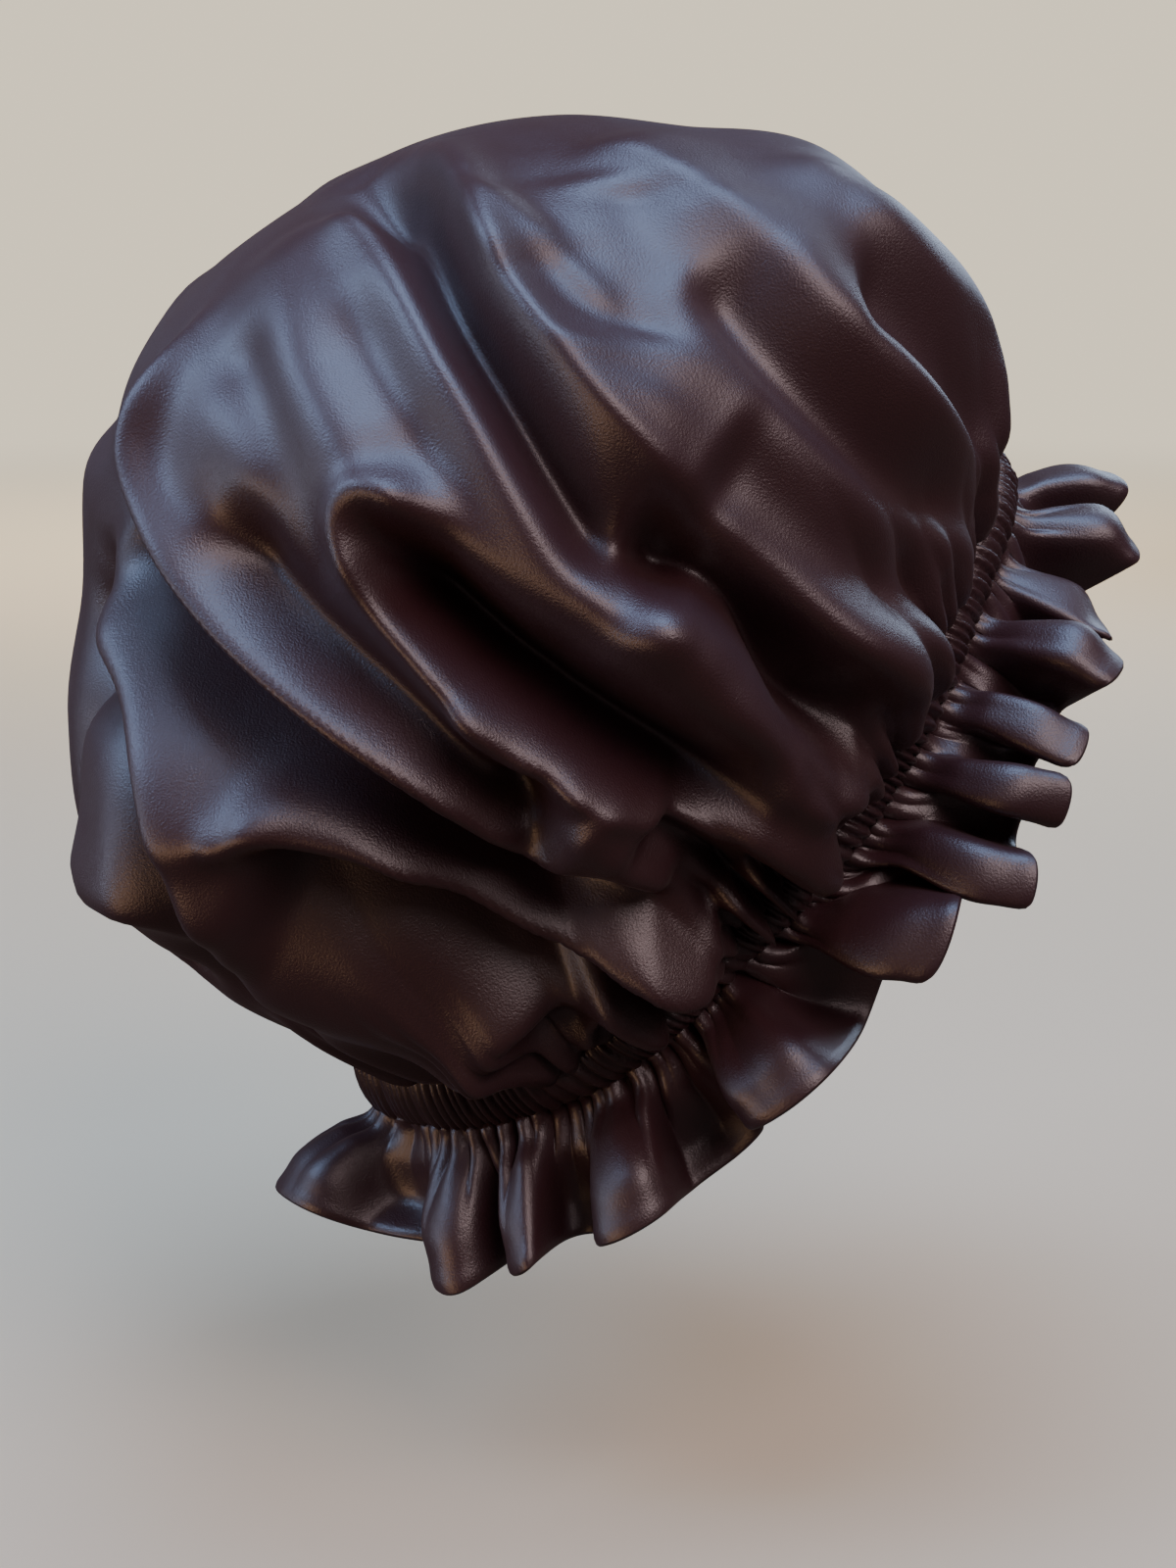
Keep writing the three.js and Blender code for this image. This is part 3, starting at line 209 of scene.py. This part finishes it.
def ring():
    half = np.array([[r["x"], r["y"], r["z"]] for r in OPENING], float)
    pts = np.vstack([half, half[-2:0:-1] * [-1, 1, 1]])
    f = (np.arange(16) / 16)[None, :, None]
    p = cubic(np.roll(pts, 1, 0)[:, None], pts[:, None], np.roll(pts, -1, 0)[:, None], np.roll(pts, -2, 0)[:, None], f).reshape(-1, 3)
    seg = np.linalg.norm(np.roll(p, -1, 0) - p, axis=1)
    return p, seg, np.r_[0, np.cumsum(seg)], unit(np.roll(p, -1, 0) - np.roll(p, 1, 0))


RP, RSEG, RAT, RT = ring()
TOTAL = RAT[-1]


def pick(rows, key, u):
    x = np.minimum(u % 1, 1 - u % 1)
    t = np.array([r["round"] for r in rows])
    v = np.array([r[key] for r in rows], float)
    i = np.clip(np.searchsorted(t, x, side="right") - 1, 0, len(t) - 2)
    f = smooth(t[i], t[i + 1], x)
    return v[i] * (1 - f) + v[i + 1] * f


def station(u):
    u = np.asarray(u, float) % 1
    x = u * TOTAL
    i = np.clip(np.searchsorted(RAT, x, side="right") - 1, 0, len(RP) - 1)
    f = ((x - RAT[i]) / RSEG[i])[..., None]
    j = (i + 1) % len(RP)
    p = RP[i] + (RP[j] - RP[i]) * f
    t = unit(RT[i] * (1 - f) + RT[j] * f)
    o = unit(p) * 0.75 + unit(p - CENTRE) * 0.25
    o[..., 2] += UPRIGHT * smooth(0.34, 0.46, np.minimum(u, 1 - u))
    out = unit(o - t * dot(o, t)[..., None])
    away = np.cross(t, out)
    away = away * np.where(away @ APEX > 0, -1, 1)[..., None]
    return {"u": u, "p": p, "t": t, "out": out, "away": away, "half": pick(CASING, "half", u), "thick": pick(CASING, "thick", u)}


def wander(u, seed, waves=7, low=3, high=19):
    """Smooth closed curve of u, about -1 to 1, always the same for a seed."""
    g = np.random.default_rng(seed)
    k = g.integers(low, high, waves)
    a, ph = g.uniform(0.4, 1, waves), g.uniform(0, 2 * np.pi, waves)
    s = sum(a[i] * np.sin(2 * np.pi * k[i] * u + ph[i]) for i in range(waves))
    return s / math.sqrt((a ** 2).sum())


def pleat(phase):
    """Round crests and tight valleys, mean near 0."""
    return np.abs(np.cos(phase / 2)) - 0.64


def stroke_lines():
    out = []
    for row in FOLDS:
        d = heading(*np.array(row["path"], float).T)
        n, line = len(d), []
        for i in range(n - 1):
            for k in range(9 if i == n - 2 else 8):
                line.append(cubic(d[max(0, i - 1)], d[i], d[i + 1], d[min(n - 1, i + 2)], k / 8))
        line = np.array(line)
        for _ in range(24):
            line[1:-1] = (line[:-2] + 2 * line[1:-1] + line[2:]) / 4
        line = unit(line)
        at = CENTRE + line * reach(line)[:, None]
        tan = np.vstack([at[1] - at[0], at[2:] - at[:-2], at[-1] - at[-2]])
        out.append((row, at, unit(np.cross(tan, line)), unit(tan)))
    return out


def folds(p):
    q = p.reshape(-1, 3)
    lift, slide = np.zeros(len(q)), np.zeros((len(q), 3))
    for row, at, side, tan in stroke_lines():
        most = max(row["half"], row["wide"]) * 3.4
        lo, hi = at.min(0) - most, at.max(0) + most
        near = np.where(((q > lo) & (q < hi)).all(1))[0]
        if not len(near):
            continue
        d = ((q[near][:, None] - at[None]) ** 2).sum(2)
        j = d.argmin(1)
        best = np.sqrt(d[np.arange(len(near)), j])
        m = best < most
        near, j = near[m], j[m]
        v = q[near] - at[j]
        ahead = dot(v, tan[j])
        k = np.clip(np.where(ahead > 0, j + 1, j - 1), 0, len(at) - 1)
        step = np.linalg.norm(at[k] - at[j], axis=1) + 1e-9
        part = np.clip(np.abs(ahead) / step, 0, 0.5) * (k != j)
        foot = at[j] + (at[k] - at[j]) * part[:, None]
        sd = unit(side[j] + (side[k] - side[j]) * part[:, None])
        v = q[near] - foot
        best = np.linalg.norm(v, axis=1)
        right = np.clip(dot(v, sd) / (0.7 * min(row["half"], row["wide"])), -1, 1)
        w = (row["half"] + row["wide"]) / 2 + (row["half"] - row["wide"]) / 2 * right
        along = (j + (k - j) * part) / (len(at) - 1)
        h = row["rise"] * np.exp(-0.69 * (best / w) ** (1.65 if row["rise"] > 0 else 2)) * smooth(-0.05, 0.12, along) * (1 - smooth(0.85, 1.1, along))
        lift[near] += h
        slide[near] += sd * (np.maximum(h, 0) * row["lean"] * 0.45)[:, None]
    return lift.reshape(p.shape[:-1]), slide.reshape(p.shape)


def ease(f):
    """One light pass of smoothing over a grid that wraps round."""
    f = (np.roll(f, 1, 1) + 2 * f + np.roll(f, -1, 1)) / 4
    g = f.copy()
    g[1:-1] = (f[:-2] + 2 * f[1:-1] + f[2:]) / 4
    return g


def crown_grid(cols, rings):
    t = np.arange(rings) / rings
    U, V = np.meshgrid(np.arange(cols) / cols, 0.5 * t + 0.5 * t ** 2)
    st = station(U)
    e = st["p"] - st["away"] * (st["half"] - 0.6)[..., None] - CENTRE
    far = np.linalg.norm(e, axis=-1)
    edge = e / far[..., None]
    ang = np.arccos(np.clip(edge @ APEX, -1, 1))
    d = unit(edge * np.sin((1 - V) * ang)[..., None] + APEX * np.sin(V * ang)[..., None])
    run = V * ang * 118
    base = reach(d)
    p = CENTRE + d * base[..., None]
    lift, slide = folds(p)
    for _ in range(2):
        lift, slide = ease(lift), ease(slide)
    puff = 3 * np.exp(-(run / 55) ** 2)
    soft = smooth(0, 14, run)
    steep = 1 - np.minimum(1, run / pick(SWELL, "reach", U))
    k = np.sqrt(np.maximum(0, 1 - steep ** 2))
    r = far + (base + puff - far) * k + lift * soft
    onright = smooth(0.24, 0.32, U) * (1 - smooth(0.45, 0.5, U))
    beside = np.minimum(U, 1 - U)
    ear = smooth(0.21, 0.27, beside) * (1 - smooth(0.37, 0.42, beside))
    over = np.zeros_like(r)
    for n, g in enumerate(GATHERS):
        ph = 2 * np.pi * g["count"] * U + g["wander"] * wander(U, 11 + n) + 0.9 * wander(U, 31 + n) * run / 40
        env = smooth(g["start"] * 0.2 - 1, g["start"] + 2, run) * np.exp(-(run / (g["fade"] * (1 + 0.25 * ear))) ** 1.6) * (1 + 0.7 * ear)
        h = g["high"] * (0.75 + 0.35 * wander(U, 51 + n)) * env * pleat(ph) * (1 - (1 - g["right"]) * onright)
        r = r + h * (0.45 + 0.55 * k)
        over = over + h * steep * (1 - 0.75 * smooth(0.34, 0.42, beside))
    out = CENTRE + d * r[..., None] + slide * soft[..., None] + st["away"] * over[..., None]
    tip_p = (CENTRE + APEX * reach(APEX[None]))[None]
    tl, ts = folds(tip_p[:, 0] if tip_p.ndim == 3 else tip_p)
    tip = CENTRE + APEX * (reach(APEX[None])[0] + tl[0]) + ts[0]
    return out, tip


def crests():
    rows = [dict(r) for r in CRESTS]
    for s in LEFT:
        r = CRESTS[s["row"]]
        rows.append({"round": 1 - r["round"] + s["shift"], "x": -r["x"], "y": r["y"], "z": r["z"], "long": r["long"] * s["long"], "swing": r["swing"] * s["swing"]})
    return sorted(rows, key=lambda r: r["round"])


def wave(u):
    rows = crests()
    n = len(rows)
    at = np.array([r["round"] for r in rows])
    i = (np.searchsorted(at, u % 1, side="right") - 1) % n
    j, h, l = (i + 1) % n, (i - 1) % n, (i + 2) % n
    span = (at[j] - at[i] + 1) % 1
    f = ((u % 1 - at[i] + 1) % 1) / span
    w = {"phase": i + f, "pitch": span * TOTAL}
    for key in ("x", "y", "z", "long", "swing"):
        v = np.array([r[key] for r in rows], float)
        w[key] = cubic(v[h], v[i], v[j], v[l], f)
    w["dir"] = unit(np.stack([w["x"], w["y"], w["z"]], -1))
    return w


def ruffle_grid(cols, rows):
    t = np.linspace(0, 1, rows + 1)
    U, D = np.meshgrid(np.arange(cols) / cols, t)
    st, w = station(U), wave(U)
    th = 2 * np.pi * w["phase"]
    root = st["p"] + st["away"] * (st["half"] - 0.8)[..., None]
    turn = smooth(0, 0.35, D)
    lead = unit(st["away"] * ((1 - turn) * 0.8)[..., None] + w["dir"] * (0.2 + turn)[..., None])
    s = D * w["long"] * (1 - 0.2 * D * (1 - np.cos(th)) / 2)
    up = unit(st["out"] - lead * dot(st["out"], lead)[..., None])
    side = unit(st["t"] - lead * dot(st["t"], lead)[..., None])
    grow = smooth(0, 0.75, D)
    amp = w["swing"] * grow * 1.0
    p = root + lead * s[..., None] + up * (amp * np.tanh(1.2 * np.cos(th)) / 0.834)[..., None] + side * (np.minimum(0.17 * w["pitch"], 5.0) * (1 - 0.6 * smooth(0.28, 0.38, np.minimum(U, 1 - U))) * grow * np.sin(2 * th))[..., None]
    curl = 4.5 * wander(U, 41, low=6, high=34) * smooth(0.45, 1, D) ** 2
    p = p + up * curl[..., None] + side * (2.5 * wander(U, 43, low=5, high=25) * smooth(0.2, 1, D))[..., None]
    p = p + lead * (1.8 * wander(U, 45, low=5, high=30) * D ** 2)[..., None]
    beside = np.minimum(U, 1 - U)
    ear = smooth(0.21, 0.27, beside) * (1 - smooth(0.4, 0.46, beside))
    for count, high, start, fade, seed in ((120, 1.5, 0, 11, 3), (61, 3.0, 2, 20, 5)):
        ph = 2 * np.pi * count * U + 5 * wander(U, seed)
        env = smooth(start * 0.2 - 1, start + 1.5, s) * np.exp(-(s / fade) ** 1.5) * (1 + ear)
        p = p + up * (high * env * pleat(ph))[..., None]
    return p


def normals(g):
    du = np.roll(g, -1, 1) - np.roll(g, 1, 1)
    dv = np.vstack([g[1:2] - g[:1], g[2:] - g[:-2], g[-1:] - g[-2:-1]])
    return unit(np.cross(du, dv))


def wrap_faces(rows, cols, base=0, flip=False):
    r, c = np.meshgrid(np.arange(rows - 1), np.arange(cols), indexing="ij")
    a = base + r * cols + c
    b = base + r * cols + (c + 1) % cols
    q = np.stack([a, b, b + cols, a + cols], -1).reshape(-1, 4)
    return q[:, ::-1] if flip else q


def make(name, verts, faces, uv, node, mat, crease=None):
    me = bpy.data.meshes.new(name)
    me.from_pydata((np.asarray(verts) * MM).tolist(), [], [list(map(int, f)) for f in faces])
    me.update()
    layer = me.uv_layers.new(name="cloth")
    idx = np.empty(len(me.loops), dtype=np.int32)
    me.loops.foreach_get("vertex_index", idx)
    layer.data.foreach_set("uv", np.asarray(uv, float)[idx].ravel())
    me.shade_smooth()
    o = bpy.data.objects.new(name, me)
    bpy.context.scene.collection.objects.link(o)
    o.data.materials.append(mat)
    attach(o, "root")
    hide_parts(node)
    return o


def face_out(verts, faces, inside):
    f = np.asarray([x[:3] for x in faces[::37]])
    v = np.asarray(verts)
    n = np.cross(v[f[:, 1]] - v[f[:, 0]], v[f[:, 2]] - v[f[:, 0]])
    c = v[f].mean(1)
    return (dot(n, c - inside) > 0).mean() > 0.5


def build_crown(mat):
    g, tip = crown_grid(CROWN_COLS, CROWN_RINGS)
    verts = np.vstack([g.reshape(-1, 3), tip[None]])
    faces = [list(q) for q in wrap_faces(CROWN_RINGS, CROWN_COLS)]
    last = (CROWN_RINGS - 1) * CROWN_COLS
    faces += [[last + c, last + (c + 1) % CROWN_COLS, len(verts) - 1] for c in range(CROWN_COLS)]
    if not face_out(verts, faces, CENTRE):
        faces = [f[::-1] for f in faces]
    off = verts - CENTRE
    uv = np.stack([off[:, 0], np.hypot(off[:, 1], off[:, 2])], -1) / 100
    return make("crown_cloth", verts, faces, uv, "crown", mat)


def build_ruffle(mat):
    g = ruffle_grid(RUFFLE_COLS, RUFFLE_ROWS)
    n = normals(g)
    if dot(n[1, 0], station(0.0)["out"]) < 0:
        n = -n
    rows = RUFFLE_ROWS + 1
    s = np.linspace(0, 1, rows)[:, None, None]
    wall = RUFFLE_WALL * (1 + 0.35 * smooth(0.85, 0.95, s) - 0.5 * smooth(0.985, 1.0, s))
    a, b = g + n * wall / 2, g - n * wall / 2
    lead = unit(g[-1] - g[-2])
    rim = g[-1] + lead * 0.5
    verts = np.vstack([a.reshape(-1, 3), b.reshape(-1, 3), rim])
    off = rows * RUFFLE_COLS
    faces = list(wrap_faces(rows, RUFFLE_COLS)) + list(wrap_faces(rows, RUFFLE_COLS, off, True))
    c = np.arange(RUFFLE_COLS); d = (c + 1) % RUFFLE_COLS
    top, bot, edge = (rows - 1) * RUFFLE_COLS, off + (rows - 1) * RUFFLE_COLS, 2 * off
    faces += list(np.stack([top + c, top + d, edge + d, edge + c], -1)) + list(np.stack([edge + c, edge + d, bot + d, bot + c], -1))
    faces += list(np.stack([c[::-1] * 0 + d, c, off + c, off + d], -1))
    v = np.asarray(verts); tri = np.asarray([f[:3] for f in faces] + [[f[0], f[2], f[3]] for f in faces])
    if dot(v[tri[:, 0]], np.cross(v[tri[:, 1]], v[tri[:, 2]])).sum() < 0:
        faces = [f[::-1] for f in faces]
    U = np.tile(np.arange(RUFFLE_COLS) / RUFFLE_COLS * 18, rows)
    D = np.repeat(np.linspace(0, 0.42, rows), RUFFLE_COLS)
    uv = np.vstack([np.stack([U, D], -1), np.stack([U, D], -1), np.stack([np.arange(RUFFLE_COLS) / RUFFLE_COLS * 18, np.full(RUFFLE_COLS, 0.42)], -1)])
    o = make("ruffle_cloth", verts, faces, uv, "ruffle", mat)
    ends = np.empty(len(o.data.edges) * 2, dtype=np.int32)
    o.data.edges.foreach_get("vertices", ends)
    ends = ends.reshape(-1, 2)
    hem = ((ends >= top) & (ends < off)).all(1) | ((ends >= bot) & (ends < edge)).all(1)
    o.data.attributes.new("sharp_edge", "BOOLEAN", "EDGE").data.foreach_set("value", hem)
    return o


def build_casing(mat):
    U, A = np.meshgrid(np.arange(CASING_COLS) / CASING_COLS, np.arange(CASING_SIDES) / CASING_SIDES * 2 * np.pi, indexing="ij")
    st = station(U)
    nape = smooth(0.36, 0.44, np.minimum(U, 1 - U))
    lean = 1.1 * (1 - nape) * np.where(U < 0.5, 1, -1)
    ph = 2 * np.pi * 212 * U + 5 * wander(U, 21) + lean * np.cos(A) * 2.6 + 0.7 * wander(U, 22, low=20, high=60) * np.sin(A)
    ph2 = 2 * np.pi * 83 * U + 4 * wander(U, 23) + lean * np.cos(A) * 1.5
    bump = 2.2 * pleat(ph) * (0.85 + 0.3 * wander(U, 24)) + 1.1 * pleat(ph2)
    half, thick = st["half"] + bump * 0.7, st["thick"] + bump
    p = st["p"] + st["away"] * (half * np.cos(A))[..., None] + st["out"] * (thick * np.sin(A))[..., None]
    verts = p.reshape(-1, 3)
    c, k = np.meshgrid(np.arange(CASING_COLS), np.arange(CASING_SIDES), indexing="ij")
    n = ((c + 1) % CASING_COLS) * CASING_SIDES
    m = (k + 1) % CASING_SIDES
    faces = np.stack([c * CASING_SIDES + k, n + k, n + m, c * CASING_SIDES + m], -1).reshape(-1, 4)
    v = verts; tri = np.vstack([faces[:, :3], faces[:, [0, 2, 3]]])
    if dot(v[tri[:, 0]], np.cross(v[tri[:, 1]], v[tri[:, 2]])).sum() < 0:
        faces = faces[:, ::-1]
    uv = np.stack([(U * 18).ravel(), (A / 6.3 * 0.3).ravel()], -1)
    return make("casing_cloth", verts, faces, uv, "elastic_casing", mat)


def satin(name, base, dark, rough, sheen, thread=0.55):
    mat = bpy.data.materials.new(name)
    mat.use_nodes = True
    nt = mat.node_tree
    bs = nt.nodes["Principled BSDF"]
    bs.inputs["IOR"].default_value = 1.5
    bs.inputs["Specular IOR Level"].default_value = 0.9
    bs.inputs["Anisotropic"].default_value = 0.35
    bs.inputs["Sheen Weight"].default_value = sheen
    bs.inputs["Sheen Roughness"].default_value = 0.45
    bs.inputs["Sheen Tint"].default_value = (0.75, 0.6, 0.58, 1)
    bs.inputs["Coat Weight"].default_value = 0.0
    bs.inputs["Coat Roughness"].default_value = 0.3
    bs.inputs["Coat Tint"].default_value = (0.8, 0.86, 1.0, 1)
    tc = nt.nodes.new("ShaderNodeTexCoord")
    big = nt.nodes.new("ShaderNodeTexNoise")
    big.inputs["Scale"].default_value = 14
    big.inputs["Detail"].default_value = 3
    ramp = nt.nodes.new("ShaderNodeMix")
    ramp.data_type = "RGBA"
    ramp.inputs[6].default_value = (*dark, 1)
    ramp.inputs[7].default_value = (*base, 1)
    nt.links.new(tc.outputs["Object"], big.inputs["Vector"])
    nt.links.new(big.outputs["Fac"], ramp.inputs[0])
    nt.links.new(ramp.outputs[2], bs.inputs["Base Color"])
    grain = nt.nodes.new("ShaderNodeTexNoise")
    grain.inputs["Scale"].default_value = 1900
    grain.inputs["Detail"].default_value = 2
    nt.links.new(tc.outputs["Object"], grain.inputs["Vector"])
    soft = nt.nodes.new("ShaderNodeTexNoise")
    soft.inputs["Scale"].default_value = 90
    soft.inputs["Detail"].default_value = 4
    nt.links.new(tc.outputs["Object"], soft.inputs["Vector"])
    rg = nt.nodes.new("ShaderNodeMapRange")
    rg.inputs["To Min"].default_value = rough - 0.05
    rg.inputs["To Max"].default_value = rough + 0.07
    nt.links.new(soft.outputs["Fac"], rg.inputs["Value"])
    nt.links.new(rg.outputs["Result"], bs.inputs["Roughness"])
    b1 = nt.nodes.new("ShaderNodeBump")
    b1.inputs["Strength"].default_value = thread
    b1.inputs["Distance"].default_value = 0.00026
    nt.links.new(grain.outputs["Fac"], b1.inputs["Height"])
    b2 = nt.nodes.new("ShaderNodeBump")
    b2.inputs["Strength"].default_value = 0.1
    b2.inputs["Distance"].default_value = 0.0006
    nt.links.new(soft.outputs["Fac"], b2.inputs["Height"])
    nt.links.new(b1.outputs["Normal"], b2.inputs["Normal"])
    nt.links.new(b2.outputs["Normal"], bs.inputs["Normal"])
    return mat


body_mat = satin("satin_body", (0.046, 0.0148, 0.0185), (0.032, 0.0102, 0.013), 0.41, 0.06, 0.5)
casing_mat = satin("satin_casing", (0.042, 0.0135, 0.017), (0.028, 0.009, 0.0115), 0.37, 0.06, 0.45)
ruffle_mat = satin("satin_ruffle", (0.05, 0.018, 0.0225), (0.034, 0.0125, 0.016), 0.39, 0.06, 0.45)

crown = build_crown(body_mat)
casing = build_casing(casing_mat)
ruffle = build_ruffle(ruffle_mat)

# Plain floor that runs out into the pale backdrop.
PALE = (0.97, 0.85, 0.64, 1)
floor_mat = bpy.data.materials.new("pale_floor")
floor_mat.use_nodes = True
fn, fl = floor_mat.node_tree.nodes, floor_mat.node_tree.links
fb = fn["Principled BSDF"]
fb.inputs["Base Color"].default_value = (0.84, 0.69, 0.48, 1)
fb.inputs["Roughness"].default_value = 0.85
glow, blend, here = fn.new("ShaderNodeEmission"), fn.new("ShaderNodeMixShader"), fn.new("ShaderNodeTexCoord")
far, fade = fn.new("ShaderNodeVectorMath"), fn.new("ShaderNodeMapRange")
glow.inputs["Color"].default_value = PALE
glow.inputs["Strength"].default_value = 1.15
far.operation = "LENGTH"
fade.interpolation_type = "SMOOTHSTEP"
fade.inputs["From Min"].default_value = 1.0
fade.inputs["From Max"].default_value = 4.0
fl.new(here.outputs["Object"], far.inputs[0])
fl.new(far.outputs["Value"], fade.inputs["Value"])
fl.new(fade.outputs["Result"], blend.inputs[0])
fl.new(fb.outputs[0], blend.inputs[1])
fl.new(glow.outputs[0], blend.inputs[2])
fl.new(blend.outputs[0], fn["Material Output"].inputs[0])
bpy.ops.mesh.primitive_plane_add(size=60, location=(0, 0, -0.185))
floor = bpy.context.active_object
floor.name = "floor"
floor.data.materials.append(floor_mat)
floor.visible_diffuse = False
floor.visible_glossy = False

world = bpy.data.worlds.new("studio")
world.use_nodes = True
wn, wl = world.node_tree.nodes, world.node_tree.links
seen, fill = wn["Background"], wn.new("ShaderNodeBackground")
seen.inputs["Color"].default_value = PALE
seen.inputs["Strength"].default_value = 1.15
fill.inputs["Color"].default_value = (1.0, 0.8, 0.78, 1)
fill.inputs["Strength"].default_value = 0.08
ray, mix = wn.new("ShaderNodeLightPath"), wn.new("ShaderNodeMixShader")
wl.new(ray.outputs["Is Camera Ray"], mix.inputs[0])
wl.new(fill.outputs[0], mix.inputs[1])
wl.new(seen.outputs[0], mix.inputs[2])
wl.new(mix.outputs[0], wn["World Output"].inputs[0])
bpy.context.scene.world = world


def area(name, at, aim, size, power, colour):
    data = bpy.data.lights.new(name, "AREA")
    data.shape = "RECTANGLE"
    data.size, data.size_y = size
    data.energy = power
    data.color = colour
    o = bpy.data.objects.new(name, data)
    o.location = at
    o.rotation_euler = (Vector(aim) - Vector(at)).to_track_quat("-Z", "Y").to_euler()
    o.visible_camera = False
    bpy.context.scene.collection.objects.link(o)
    return o


area("key", (0.1, 1.2, 1.05), (0, 0.04, 0.05), (0.8, 0.7), 11.5, (0.42, 0.62, 1.0))
area("top", (-0.15, -0.05, 1.6), (0, 0, 0.05), (1.1, 1.0), 23, (0.42, 0.62, 1.0))
area("front", (-1.05, -0.3, 1.0), (0, 0.04, 0.03), (1.0, 0.9), 13, (1.0, 0.78, 0.78))
area("side", (0.15, 1.4, 0.55), (0, 0.08, 0.0), (1.0, 0.8), 4.5, (0.56, 0.7, 1.0))
area("rim", (1.0, -1.1, 0.75), (0, 0.0, 0.05), (0.8, 0.8), 9, (0.6, 0.76, 1.0))
area("warm", (-0.4, 0.75, -0.17), (0, 0.08, -0.03), (0.5, 0.4), 1.6, (1.0, 0.58, 0.3))
area("low", (0.1, 1.3, -0.1), (0, 0.08, -0.03), (0.9, 0.15), 2.0, (0.66, 0.76, 1.0))
area("back", (2.6, -0.3, 1.9), (2.2, -0.25, -0.185), (2.4, 1.6), 24, (1.0, 0.9, 0.74)).data.spread = math.radians(70)

# The photograph's view: from behind the wearer's right ear, a little above.
TURN, RISE, AWAY = math.radians(13), math.radians(13), 0.6
look = Vector((math.cos(TURN) * math.cos(RISE), -math.sin(TURN) * math.cos(RISE), -math.sin(RISE)))
right = Vector((-math.sin(TURN), -math.cos(TURN), 0))
up = right.cross(look)
at = -(look * AWAY + right * 0.0318 + up * 0.00265)
cam_data = bpy.data.cameras.new("camera")
cam_data.lens = 50.94
cam_data.sensor_width = 36
cam = bpy.data.objects.new("camera", cam_data)
cam.matrix_world = Matrix((right, up, -look)).transposed().to_4x4()
cam.location = at
bpy.context.scene.collection.objects.link(cam)
bpy.context.scene.camera = cam
